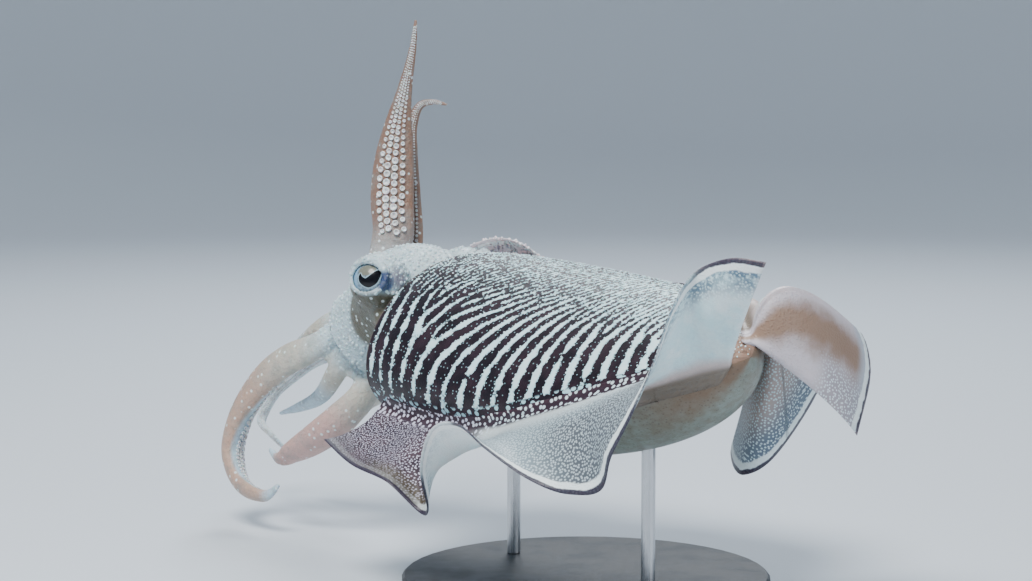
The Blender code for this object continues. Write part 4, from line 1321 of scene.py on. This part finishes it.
def build_suckers(look, arms):
    """All suckers as one mesh."""
    rng = random.Random(SUCKER_SEED)
    points = []
    faces = []
    for arm in arms.values():
        for row in range(len(SUCKER_ROWS)):
            for (centre, ways), radius in sucker_row(arm, row, rng):
                add_bump(points, faces, SUCKER_PROFILE, SUCKER_SIDES, centre, ways, radius,
                         radius, SUCKER_HOLLOW)
    return mesh_object("suckers", points, faces, look)


def thin_out(points, chance, least, rng):
    """Pick scattered points that keep a least distance in mm from each other."""
    least = least * MM
    order = rng.permutation(len(points))
    cells = {}
    picked = []
    for number in order:
        if rng.random() > chance:
            continue
        cell = tuple((points[number] / least).astype(int))
        near = [cells.get((cell[0] + a, cell[1] + b, cell[2] + c))
                for a in (-1, 0, 1) for b in (-1, 0, 1) for c in (-1, 0, 1)]
        if any(other is not None and np.linalg.norm(points[other] - points[number]) < least
               for other in near):
            continue
        cells[cell] = number
        picked.append(number)
    return picked


def domes(name, centres, normals, radii, heights, look, sides=9):
    """Small rounded bumps sunk a little in the skin, as one mesh."""
    points = []
    faces = []
    for centre, normal, radius, height in zip(centres, normals, radii, heights):
        helper = np.array((0.3, 0.5, 0.8)) if abs(normal[2]) < 0.9 else np.array((1.0, 0, 0))
        flat = unit(np.cross(normal, helper))
        ways = (flat, np.cross(normal, flat), normal)
        add_bump(points, faces, DOME_PROFILE, sides, centre, ways, radius, height, 1)
    return mesh_object(name, points, faces, look)


def head_papillae(head, look):
    """Bumps all over the head, clear of the eyes and the smoother patches."""
    seed, chance, least = HEAD_PAPILLAE
    rng = np.random.default_rng(seed)
    points = per_point(head, "co")
    outside = (points[:, 0] < AHEAD_OF_MANTLE) & (stored(head, "grain") > 0.6)
    for side in (1, -1):
        centre, aim = eye_parts(side)
        away = np.linalg.norm(points - centre - aim * EYE_OFFSET, axis=1)
        outside &= away > CLEAR_OF_EYE
    chosen = np.flatnonzero(outside)
    picked = chosen[thin_out(points[chosen], chance, least, rng)]
    radii = rng.uniform(0.45, 1.15, len(picked)) ** 1.4 * MM
    heights = radii * rng.uniform(0.35, 0.8, len(picked))
    normals = per_point(head, "normal")[picked]
    return domes("head_papillae", points[picked], normals, radii, heights, look)


def mantle_papillae(outer, outward, marks, look):
    """Small white points along the edges of the bands and dashes."""
    seed, chance, least = MANTLE_PAPILLAE
    rng = np.random.default_rng(seed)
    edge = (np.abs(marks["band"]) < 0.35) & (marks["up"] > 6)
    picked = thin_out(outer[edge], chance, least, rng)
    radii = rng.uniform(0.28, 0.55, len(picked)) * MM
    return domes("mantle_papillae", outer[edge][picked], outward[edge][picked], radii, radii,
                 look, 7)


def fin_frill(fin, look):
    """Lumps on the front of the right fin, where it stands up behind the back."""
    seed, chance, least = FIN_PAPILLAE
    rng = np.random.default_rng(seed)
    points = per_point(fin, "co")
    front = (stored(fin, "aft") < FRILL_END) & (stored(fin, "root_mm") > FRILL_ROOT)
    chosen = np.flatnonzero(front)
    picked = chosen[thin_out(points[chosen], chance, least, rng)]
    radii = rng.uniform(0.4, 0.9, len(picked)) * MM
    heights = radii * rng.uniform(0.7, 1.3, len(picked))
    normals = per_point(fin, "normal")[picked]
    return domes("fin_right_papillae", points[picked], normals, radii, heights, look)


def build_funnel(look):
    start = body_centre(POCKET_DEPTH / MANTLE_LENGTH) - GAP * AFT - FUNNEL_DROP * UP
    out = -AFT - 0.25 * UP
    rings = []
    for share in np.linspace(0, 1, 30):
        bend = share ** 2 * 0.5
        centre = start + FUNNEL_LENGTH * share * unit(-AFT * (1 - bend) + out * bend)
        width = FUNNEL_SIZE[0] + (FUNNEL_MOUTH - FUNNEL_SIZE[0]) * share
        depth = FUNNEL_SIZE[1] + (FUNNEL_MOUTH - FUNNEL_SIZE[1]) * share
        rings.append(oval(centre, LEFT, UP, width, depth, depth, 48))
    mouth = np.mean(rings[-1], axis=0)
    for turn in np.linspace(0, math.pi, 8)[1:]:
        wall = (FUNNEL_MOUTH - FUNNEL_BORE) / 2
        radius = FUNNEL_MOUTH - wall * (1 - math.cos(turn))
        centre = mouth - wall * 0.8 * math.sin(turn) * AFT
        rings.append(oval(centre, LEFT, UP, radius, radius, radius, 48))
    deep = mouth + 12 * MM * AFT
    rings.append(oval(deep, LEFT, UP, *(FUNNEL_BORE * 0.8,) * 3, 48))
    return tube("funnel_skin", rings, look)


def build_mouth(look):
    """Round wrinkled lip round the mouth."""
    forward, left, rise = crown_frame()
    profile = ((1.0, -0.2), (1.0, 0.35), (0.95, 0.6), (0.86, 0.8), (0.75, 0.95), (0.62, 1.0),
               (0.5, 0.97), (0.4, 0.85), (0.3, 0.68), (0.22, 0.5), (0.1, 0.42))
    rings = []
    angles = round_angles(96)
    for share, height in profile:
        wrinkle = 1 + 0.05 * np.sin(22 * angles) * smoothstep(0.2, 0.7, height)
        radius = (MOUTH_RADIUS * share * wrinkle)[:, None]
        centre = CROWN + (GAP + MOUTH_HEIGHT * height) * forward
        rings.append(centre + radius * (np.cos(angles)[:, None] * left
                                        + np.sin(angles)[:, None] * rise))
    return tube("mouth_lip", rings, look)


def outline_distance(places, outline):
    """Distance to a smooth closed outline, positive inside it."""
    outline = np.array(outline)
    count = len(outline)
    knots = np.arange(-2, count + 3)
    curve = smooth_curve(knots, outline[knots % count], np.linspace(0, count, 12 * count + 1))
    start = curve[None, :-1]
    span = np.diff(curve, axis=0)[None]
    offset = places[:, None] - start
    share = np.clip((offset * span).sum(axis=2) / (span ** 2).sum(axis=2), 0, 1)
    away = np.linalg.norm(offset - share[:, :, None] * span, axis=2).min(axis=1)
    end = start + span
    crosses = (start[:, :, 1] > places[:, 1:]) != (end[:, :, 1] > places[:, 1:])
    rise = np.where(span[:, :, 1] == 0, 1e-9, span[:, :, 1])
    at = start[:, :, 0] + (places[:, 1:] - start[:, :, 1]) / rise * span[:, :, 0]
    inside = (crosses & (at > places[:, :1])).sum(axis=1) % 2 == 1
    return np.where(inside, away, -away)


def build_eye(side, look):
    """Eyeball with its pupil and iris stored as distances in mm."""
    centre, aim = eye_parts(side)
    centre = centre + aim * EYE_OFFSET
    fore = np.array((-1.0, 0, -0.25))
    fore = unit(fore - aim * (fore @ aim))
    rise = np.cross(fore, aim)
    rise = rise if rise[2] > 0 else -rise
    polar = np.linspace(0.004, math.pi - 0.02, EYE_GRID[0])
    turns = round_angles(EYE_GRID[1])
    out = np.sin(polar)[:, None, None] * (np.cos(turns)[None, :, None] * fore
                                          + np.sin(turns)[None, :, None] * rise)
    rings = centre + EYE_RADIUS * (out + np.cos(polar)[:, None, None] * aim)
    item = tube("eye_" + ("left" if side > 0 else "right") + "_ball", rings, look)
    local = per_point(item, "co") - centre
    a = local @ fore / MM
    b = local @ rise / MM
    front = local @ aim / MM
    pupil = outline_distance(np.stack((a, b), axis=1), PUPIL)
    pupil = np.where(front > 0, pupil, -5)
    store(item, "pupil", pupil)
    store(item, "eye_mm", np.stack((a, b, front), axis=-1), "FLOAT_VECTOR")
    return item


# Materials

class Nodes:
    """Short way to write a material's nodes."""

    def __init__(self, name):
        self.material = bpy.data.materials.new(name)
        self.material.use_nodes = True
        self.tree = self.material.node_tree
        self.shader = self.tree.nodes["Principled BSDF"]

    def add(self, kind, inputs=(), **settings):
        node = self.tree.nodes.new(kind)
        for key, value in settings.items():
            setattr(node, key, value)
        for key, value in dict(inputs).items():
            self.put(node.inputs[key], value)
        return node

    def put(self, socket, value):
        if isinstance(value, bpy.types.NodeSocket):
            self.tree.links.new(value, socket)
        else:
            socket.default_value = value

    def number(self, name):
        return self.add("ShaderNodeAttribute", attribute_name=name).outputs["Fac"]

    def vector(self, name):
        return self.add("ShaderNodeAttribute", attribute_name=name).outputs["Vector"]

    def place(self):
        return self.add("ShaderNodeTexCoord").outputs["Object"]

    def noise(self, vector, size, detail=3.0, rough=0.5):
        made = self.add("ShaderNodeTexNoise", {"Vector": vector, "Scale": 1 / size,
                                               "Detail": detail, "Roughness": rough})
        return made.outputs["Fac"]

    def cells(self, vector, size, jitter=1.0, flat=False):
        """Distance to the nearest cell centre, in the vector's units, and a random number."""
        made = self.add("ShaderNodeTexVoronoi", {"Vector": vector, "Scale": 1 / size,
                                                 "Randomness": jitter},
                        voronoi_dimensions="2D" if flat else "3D")
        far = self.math("MULTIPLY", made.outputs["Distance"], size)
        split = self.add("ShaderNodeSeparateColor", {"Color": made.outputs["Color"]})
        return far, split.outputs["Red"]

    def math(self, operation, a, b=0.0):
        return self.add("ShaderNodeMath", {0: a, 1: b}, operation=operation).outputs[0]

    def times(self, a, b):
        return self.math("MULTIPLY", a, b)

    def plus(self, a, b):
        return self.math("ADD", a, b)

    def minus(self, a, b):
        return self.math("SUBTRACT", a, b)

    def more(self, a, b):
        return self.math("MAXIMUM", a, b)

    def ramp(self, value, low, high, start=0.0, end=1.0):
        made = self.add("ShaderNodeMapRange", {"Value": value, "From Min": low,
                                               "From Max": high, "To Min": start,
                                               "To Max": end},
                        interpolation_type="SMOOTHSTEP")
        return made.outputs["Result"]

    def mix(self, factor, a, b):
        made = self.add("ShaderNodeMix", data_type="RGBA")
        self.put(made.inputs["Factor"], factor)
        self.put(made.inputs[6], (*a, 1) if isinstance(a, tuple) else a)
        self.put(made.inputs[7], (*b, 1) if isinstance(b, tuple) else b)
        return made.outputs[2]

    def bump(self, height, depth):
        """Bump from a height that runs from 0 to 1 over the given depth in metres."""
        made = self.add("ShaderNodeBump", {"Height": height, "Strength": 1.0,
                                           "Distance": depth})
        self.put(self.shader.inputs["Normal"], made.outputs["Normal"])

    def set(self, **values):
        for key, value in values.items():
            self.put(self.shader.inputs[key.replace("_", " ")], value)


def dots(n, vector, size, radius, soft=0.12, chance=0.0, flat=False):
    """Round spots of the given radius in cells of the given size."""
    far, lot = n.cells(vector, size, 0.8 if flat else 1.0, flat)
    spot = n.ramp(far, radius + soft, radius - soft)
    if chance > 0:
        spot = n.times(spot, n.math("GREATER_THAN", lot, chance))
    return spot


def mantle_spots(n, flat, edge):
    """White bands, flecks between them and pearls above the fins."""
    white = n.ramp(edge, -0.14, 0.2)
    flecks = dots(n, flat, 2.3, 0.30, 0.12, 0.66, True)
    pearls = dots(n, flat, 4.3, 1.35, 0.15, 0.06, True)
    pearls = n.times(pearls, n.number("low"))
    return n.more(n.more(white, n.times(flecks, 0.7)), pearls)


def mantle_belly(n, place, cloud, aft, up):
    """Clouded belly, brown towards the tail; the brown is strongest at the top of the belly, just
    under the fin, where it is partly painted shade.
    """
    mottle = n.noise(place, 4.5 * MM, 4.0, 0.7)
    belly = n.mix(n.ramp(mottle, 0.35, 0.68), *BELLY_FRONT)
    rear = n.mix(n.ramp(mottle, 0.30, 0.72), *BELLY_REAR)
    belly = n.mix(n.ramp(aft, 100.0, 160.0), belly, rear)
    # Partly painted shade: the brown grows towards the top of the belly, under the overhanging
    # fin
    high = n.ramp(n.plus(up, n.times(cloud, 14.0)), -46.0, -16.0, 0.1, 1.0)
    brown = n.times(n.ramp(aft, 150.0, 200.0, 0.0, 0.85), high)
    belly = n.mix(brown, belly, BELLY_BROWN_AND_SHADE)
    pigment = dots(n, place, 1.5 * MM, 0.42 * MM, 0.1 * MM, 0.35)
    return n.mix(n.times(pigment, 0.35), belly, PIGMENT)


def mantle_material():
    """Dark purple back with white bands, pearls above the fins and a clouded belly."""
    n = Nodes("mantle_skin")
    place = n.place()
    flat = n.vector("skin_mm")
    up = n.number("up")
    aft = n.number("aft")
    ragged = n.minus(n.noise(flat, 1.3, 3.0, 0.6), 0.5)
    edge = n.plus(n.number("band"), n.times(ragged, 1.2))
    spots = mantle_spots(n, flat, edge)
    cloud = n.noise(place, 9 * MM, 3.0, 0.6)
    dark = n.mix(n.ramp(cloud, 0.35, 0.7), DARK, DARK_WARM)
    dark = n.mix(n.ramp(up, 14.0, 2.0), dark, DARK_LOW)
    pale = n.mix(n.noise(place, 3 * MM), WHITE_COOL, WHITE)
    pale = n.mix(n.ramp(edge, 0.7, 0.0), pale, WHITE_COOL)
    back = n.mix(spots, dark, pale)
    tail = n.ramp(n.plus(aft, n.times(ragged, 8.0)), 197.0, 203.0)
    back = n.mix(tail, back, TAIL_TAN)
    colour = n.mix(n.ramp(up, 0.3, -2.5), back, mantle_belly(n, place, cloud, aft, up))
    colour = n.mix(n.number("inside"), colour, POCKET)
    n.set(Base_Color=colour, Subsurface_Weight=0.08, Subsurface_Scale=0.003)
    n.set(Roughness=n.ramp(spots, 0, 1, 0.42, 0.46), Coat_Weight=0.05, Coat_Roughness=0.25)
    n.set(Specular_IOR_Level=0.3)
    grain = n.noise(place, 0.7 * MM, 2.0)
    n.bump(n.plus(n.times(spots, 0.6), n.times(grain, 0.35)), 0.35 * MM)
    return n.material


def fin_dots(n, flat, root, edge, aft):
    """Pearls at a fin's base, smaller dots farther out, the finest at its front corner."""
    corner = n.ramp(aft, 0.26, 0.12)
    front = n.ramp(aft, 0.50, 0.40)
    base = n.ramp(root, 9.0, 6.5)
    pearls = n.times(dots(n, flat, 3.2, 0.95, 0.15, 0.0, True), base)
    pearls = n.times(pearls, n.more(front, n.ramp(root, 4.0, 3.0)))
    thinned = n.times(n.ramp(aft, 0.40, 0.34), n.ramp(edge, 18.0, 5.0, 0.0, 0.7))
    medium = dots(n, flat, 1.45, 0.40, 0.12, 0.0, True)
    small = dots(n, flat, 1.2, 0.33, 0.10, 0.0, True)
    fine = n.times(dots(n, flat, 1.3, 0.40, 0.22, 0.0, True), 0.7)
    outer = n.add("ShaderNodeMix", {0: corner, 2: medium, 3: small}).outputs[0]
    middle = n.times(n.ramp(aft, 0.40, 0.50), n.ramp(aft, 0.88, 0.84))
    outer = n.add("ShaderNodeMix", {0: middle, 2: outer, 3: fine}).outputs[0]
    outer = n.times(outer, n.ramp(root, 5.5, 8.0))
    outer = n.times(outer, n.minus(1.0, thinned))
    return n.more(pearls, outer)


def fin_back_colour(n, place, root, edge, aft, spots, side):
    """Purple-brown front lobe, paler middle lobe that darkens outwards and aft."""
    cloud = n.noise(place, 12 * MM, 3.0, 0.6)
    front = n.mix(n.ramp(cloud, 0.35, 0.65), *FRONT_LOBE)
    olive = n.times(n.ramp(edge, 16.0, 8.0), n.ramp(aft, 0.10, 0.20))
    front = n.mix(n.times(olive, 0.8), front, LOBE_OLIVE)
    if side == "right":
        front = n.mix(n.ramp(aft, 0.16, 0.13), front, FAR_FRONT)
    middle = n.mix(n.ramp(root, 6.0, 18.0), *MIDDLE_LOBE)
    outwards = n.times(n.ramp(aft, 0.58, 0.72), n.ramp(root, 10.0, 24.0))
    middle = n.mix(n.times(outwards, 0.85), middle, SLATE)
    wandering = n.plus(aft, n.times(n.minus(cloud, 0.5), 0.08))
    dark = n.mix(n.ramp(wandering, 0.36, 0.44), front, middle)
    if side == "right":
        tail = n.mix(n.ramp(edge, 30.0, 10.0), *FAR_TAIL)
        dark = n.mix(n.ramp(aft, 0.78, 0.83), dark, tail)
    light = n.mix(n.ramp(aft, 0.3, 0.5), *FIN_DOTS)
    base = n.ramp(root, 5.0, 2.0)
    if side == "right":
        base = n.times(base, n.ramp(aft, 0.13, 0.16))
    return n.mix(spots, n.mix(base, dark, DARK_LOW), light)


def fin_belly_colour(n, flat, root, edge, aft, spots, side):
    """Pale blue-white underside, mottled towards the edge and whitened by painted light on the
    fold; tan on the farthest lobe.
    """
    mottle = n.noise(flat, 1.6, 4.0, 0.6)
    broad = n.noise(flat, 9.0, 3.0, 0.6)
    blotch = n.times(n.ramp(mottle, 0.42, 0.60), n.ramp(edge, 16.0, 5.0, 0.06, 0.85))
    pale = n.mix(n.ramp(broad, 0.35, 0.65), *UNDERSIDE)
    pale = n.mix(n.ramp(root, 17.0, 8.0), pale, UNDER_ROOT)
    brown = n.times(n.ramp(root, 9.0, 3.0), n.ramp(aft, 0.74, 0.86))
    pale = n.mix(brown, pale, UNDER_BROWN)
    # Painted light: the underside is whitened on the fold band, which faces down and away from
    # the lamps, and its mottle is thinned there
    fold = n.times(n.ramp(aft, 0.32, 0.36), n.ramp(aft, 0.52, 0.48))
    pale = n.mix(n.times(fold, 0.8), pale, UNDER_FOLD_PAINTED_LIGHT)
    lower = n.mix(n.times(blotch, n.ramp(fold, 0, 1, 1.0, 0.3)), pale, MOTTLE)
    high = n.times(n.ramp(aft, 0.935, 0.955), n.ramp(edge, 20.0, 7.0))
    netted = n.times(high, n.ramp(spots, 0.6, 0.0, 0.25, 0.95))
    netted = n.times(netted, n.ramp(broad, 0.38, 0.55))
    lower = n.mix(netted, lower, CREST_NET)
    if side == "right":
        streak = n.math("ABSOLUTE", n.minus(aft, 0.9785))
        streak = n.plus(streak, n.times(n.minus(broad, 0.5), 0.006))
        tan = n.mix(n.ramp(streak, 0.0015, 0.0075), *FAR_LOBE)
        tan = n.mix(n.ramp(edge, 13.0, 6.0), tan, FAR_LOBE_EDGE)
        tip = n.times(n.ramp(aft, 0.981, 0.986), n.ramp(root, 26.0, 38.0))
        tan = n.mix(n.times(tip, 0.8), tan, FAR_LOBE_TIP)
        tan = n.mix(n.times(tip, spots), tan, TIP_DOTS)
        lower = n.mix(n.ramp(aft, 0.953, 0.962), lower, tan)
        lower = n.mix(n.ramp(aft, 0.16, 0.13), lower, FAR_FRONT_UNDER)
    return lower


def fin_edge(n, colour, flat, edge, aft, side):
    """Add the white line inside the dark rim; both fade where the photo shows them fade."""
    wander = n.times(n.minus(n.noise(flat, 5.0), 0.5), 2.4)
    edge = n.plus(edge, wander)
    line = n.times(n.ramp(edge, 5.9, 5.0), n.ramp(edge, 1.9, 2.6))
    clear = n.ramp(aft, 0.24, 0.33, 0.10, 1.0)
    if side == "right":
        clear = n.more(clear, n.ramp(aft, 0.15, 0.13))
    colour = n.mix(n.times(line, clear), colour, EDGE_LINE)
    rim = n.ramp(edge, 2.6, 1.8)
    if side == "right":
        rim = n.times(rim, n.ramp(aft, 0.13, 0.15, 0.2, 1.0))
    else:
        rear = n.ramp(n.math("ABSOLUTE", n.minus(aft, 0.90)), 0.035, 0.06)
        fold = n.ramp(n.math("ABSOLUTE", n.minus(aft, 0.40)), 0.045, 0.07)
        rim = n.times(rim, n.ramp(n.math("MINIMUM", rear, fold), 0, 1, 0.25, 1.0))
    return n.mix(n.times(rim, 0.94), colour, EDGE_RIM)


def fin_material(side):
    """Dotted above, pale and mottled below, with a white line inside a dark edge."""
    n = Nodes("fin_skin_" + side)
    place = n.place()
    flat = n.vector("skin_mm")
    root = n.number("root_mm")
    edge = n.number("edge_mm")
    aft = n.number("aft")
    under = n.number("under")
    spots = fin_dots(n, flat, root, edge, aft)
    upper = fin_back_colour(n, place, root, edge, aft, spots, side)
    lower = fin_belly_colour(n, flat, root, edge, aft, spots, side)
    colour = fin_edge(n, n.mix(under, upper, lower), flat, edge, aft, side)
    thin = n.times(under, n.ramp(root, 1.0, 10.0))
    if side == "right":
        thin = n.more(thin, n.ramp(aft, 0.16, 0.13))
    n.set(Base_Color=colour, Subsurface_Scale=0.003, Subsurface_Radius=(1.0, 0.75, 0.7))
    n.set(Subsurface_Weight=n.ramp(thin, 0, 1, 0.12, 0.6))
    n.set(Roughness=n.ramp(spots, 0, 1, 0.42, 0.5), Coat_Weight=0.06, Coat_Roughness=0.25)
    n.set(Specular_IOR_Level=0.35)
    grain = n.noise(place, 0.8 * MM, 2.0)
    n.bump(n.plus(n.times(spots, 0.5), n.times(grain, 0.35)), 0.3 * MM)
    return n.material


def head_material():
    n = Nodes("head_skin")
    place = n.place()
    tint = n.add("ShaderNodeAttribute", attribute_name="tint").outputs["Color"]
    cloud = n.noise(place, 7 * MM, 4.0, 0.65)
    speck = dots(n, place, 1.1 * MM, 0.3 * MM, 0.1 * MM, 0.45)
    colour = n.mix(n.ramp(cloud, 0.42, 0.72, 0.0, 0.45), tint, HEAD_CLOUD)
    colour = n.mix(n.times(speck, 0.25), colour, HEAD_SPECK)
    fleck = dots(n, place, 3.2 * MM, 0.75 * MM, 0.2 * MM, 0.5)
    colour = n.mix(n.times(fleck, 0.75), colour, HEAD_FLECK)
    n.set(Base_Color=colour, Subsurface_Weight=0.15, Subsurface_Scale=0.004)
    n.set(Roughness=n.ramp(cloud, 0.3, 0.7, 0.36, 0.5), Coat_Weight=0.12, Coat_Roughness=0.25)
    n.bump(n.noise(place, 2.4 * MM, 4.0, 0.6), 1.2 * MM)
    return n.material


def plain_material(name):
    """Skin of one hue that clouds between two tones."""
    colour, deep, size, roughness, relief = PLAIN_SKINS[name]
    size = size * MM
    n = Nodes(name)
    place = n.place()
    cloud = n.noise(place, size, 3.0, 0.6)
    n.set(Base_Color=n.mix(n.ramp(cloud, 0.35, 0.7), colour, deep))
    n.set(Roughness=n.ramp(cloud, 0.3, 0.7, roughness, roughness + 0.1))
    n.set(Subsurface_Weight=0.15, Subsurface_Scale=0.003)
    n.bump(n.noise(place, size / 4, 2.0), relief * MM)
    return n.material


def eye_material():
    n = Nodes("eye")
    pupil = n.number("pupil")
    where = n.add("ShaderNodeSeparateXYZ", {"Vector": n.vector("eye_mm")})
    a, b = where.outputs[0], where.outputs[1]
    place = n.place()
    streak = n.noise(place, 1.2 * MM, 4.0, 0.7)
    iris = n.mix(n.ramp(streak, 0.35, 0.65), *IRIS)
    across = n.math("DIVIDE", n.plus(a, 0.9), 4.6)
    above = n.math("DIVIDE", n.minus(b, 2.9), 2.7)
    reach = n.plus(n.times(across, across), n.times(above, above))
    fold = n.ramp(reach, 1.1, 0.7)
    iris = n.mix(n.times(fold, 0.9), iris, IRIS_FOLD)
    iris = n.mix(n.ramp(a, 3.6, 5.0, 0.0, 0.8), iris, IRIS_FORE)
    # Painted shade: the tailward edge of the eyeball, under the lid, darkened to deep blue
    aft_painted_shade = n.times(n.ramp(a, -6.6, -7.4), n.ramp(b, 5.2, 4.0))
    iris = n.mix(n.times(aft_painted_shade, 0.95), iris, IRIS_AFT_PAINTED_SHADE)
    halo = n.ramp(pupil, -0.55, -0.3, 0.0, 0.62)
    iris = n.mix(halo, iris, IRIS_HALO)
    colour = n.mix(n.ramp(pupil, -0.12, 0.12), iris, PUPIL_BLACK)
    n.set(Base_Color=colour, Roughness=n.ramp(streak, 0.3, 0.7, 0.16, 0.26))
    n.set(Coat_Weight=0.3, Coat_Roughness=0.03, Specular_IOR_Level=0.2)
    return n.material


def board_material():
    n = Nodes("stand_board")
    place = n.place()
    grain = n.noise(place, 0.9 * MM, 4.0, 0.7)
    n.set(Base_Color=n.mix(n.ramp(grain, 0.3, 0.7), *BOARD))
    n.set(Roughness=n.ramp(n.noise(place, 14 * MM), 0.3, 0.7, 0.34, 0.46))
    n.bump(grain, 0.04 * MM)
    return n.material


def metal_material():
    n = Nodes("stand_metal")
    place = n.place()
    stretch = n.add("ShaderNodeMapping", {"Vector": place, "Scale": (1, 1, 0.02)})
    brush = n.noise(stretch.outputs[0], 0.25 * MM, 2.0)
    n.set(Base_Color=n.mix(brush, *METAL))
    n.set(Roughness=n.ramp(brush, 0.3, 0.7, 0.24, 0.38), Metallic=1.0)
    n.bump(brush, 0.02 * MM)
    return n.material


# Stage

def area_light(name, place, size, power, colour):
    data = bpy.data.lights.new(name, "AREA")
    data.shape = "DISK"
    data.size = size
    data.energy = power
    data.color = colour
    item = add_object(name, data)
    item.location = place
    way = Vector(LIGHT_AIM) - Vector(place)
    item.rotation_euler = way.to_track_quat("-Z", "Y").to_euler()


def cove_profile():
    """Radius and height along the floor, its curve and the wall."""
    places = [(0.001, 0.0), (FLOOR_RADIUS * 0.5, 0.0), (FLOOR_RADIUS, 0.0)]
    for turn in np.linspace(0, math.pi / 2, 17)[1:]:
        places.append((FLOOR_RADIUS + COVE_CURVE * math.sin(turn),
                       COVE_CURVE * (1 - math.cos(turn))))
    places.append((FLOOR_RADIUS + COVE_CURVE, COVE_HEIGHT))
    return places


def build_stage():
    points = []
    for radius, height in cove_profile():
        points += [(radius * math.cos(turn), radius * math.sin(turn), height)
                   for turn in round_angles(FLOOR_SIDES)]
    n = Nodes("floor")
    n.set(Base_Color=FLOOR_COLOUR, Roughness=0.7)
    faces = grid_faces(len(points) // FLOOR_SIDES, FLOOR_SIDES, True)
    mesh_object("floor", points, faces, n.material)
    world = bpy.data.worlds.new("studio")
    world.use_nodes = True
    back = world.node_tree.nodes["Background"]
    back.inputs["Color"].default_value = WORLD_COLOUR
    back.inputs["Strength"].default_value = WORLD_STRENGTH
    bpy.context.scene.world = world
    for name, settings in LIGHTS.items():
        area_light(name, *settings)


def build_camera():
    data = bpy.data.cameras.new("camera")
    data.lens = CAMERA_LENS
    data.sensor_width = 36
    item = add_object("camera", data)
    back = -CAMERA_LOOK.normalized()
    right = CAMERA_UP.cross(back).normalized()
    rise = back.cross(right)
    turn = Matrix((right, rise, back)).transposed().to_4x4()
    item.matrix_world = Matrix.Translation(CAMERA_PLACE) @ turn
    bpy.context.scene.camera = item


def build_plan(nodes):
    """Every piece, with the name of a slot and the nodes of the solids that it replaces."""
    mantle, outer, outward, marks = build_mantle(mantle_material(), grow_bands())
    fin_left = build_fin("fin_left_skin", LEFT_FIN, 1, fin_material("left"))
    fin_right = build_fin("fin_right_skin", RIGHT_FIN, -1, fin_material("right"))
    arms = {name: Arm(name) for name in ARMS}
    head = build_head(head_material(), arms)
    colour_head(head, arms)
    skins = {name: plain_material(name) for name in PLAIN_SKINS}
    eye_look = eye_material()
    fin_nodes = {word: ["fin_%s_%s" % (word, part) for part in ("front", "middle", "rear")]
                 for word in ("left", "right")}
    arm_nodes = [name for name in nodes if name.startswith("arm_")]
    return (
        (mantle, "skin_mantle", ["mantle"]),
        (fin_left, "skin_fin", fin_nodes["left"]),
        (fin_right, "skin_fin", fin_nodes["right"]),
        (head, "skin_head", ["head"] + arm_nodes),
        (head_papillae(head, skins["papillae_pale"]), "skin_head", []),
        (mantle_papillae(outer, outward, marks, skins["papillae_white"]), "skin_mantle", []),
        (fin_frill(fin_right, skins["papillae_rose"]), "skin_fin", []),
        (build_suckers(skins["sucker_skin"], arms), "skin_arm", []),
        (build_funnel(skins["funnel_skin"]), "skin_head", ["funnel"]),
        (build_mouth(skins["lip_skin"]), "skin_arm", ["mouth"]),
        (build_eye(1, eye_look), "eye", ["eye_left"]),
        (build_eye(-1, eye_look), "eye", ["eye_right"]),
    )


def dress_stand(nodes):
    board = board_material()
    metal = metal_material()
    for name, node in nodes.items():
        if name.startswith("stand_"):
            node.material_slots[0].material = board if name == "stand_base" else metal


def main():
    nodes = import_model()["nodes"]
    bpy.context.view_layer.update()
    for item, slot, stands_for in build_plan(nodes):
        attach(item, "root")
        if stands_for:
            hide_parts(*stands_for)
    dress_stand(nodes)
    build_stage()
    build_camera()


main()
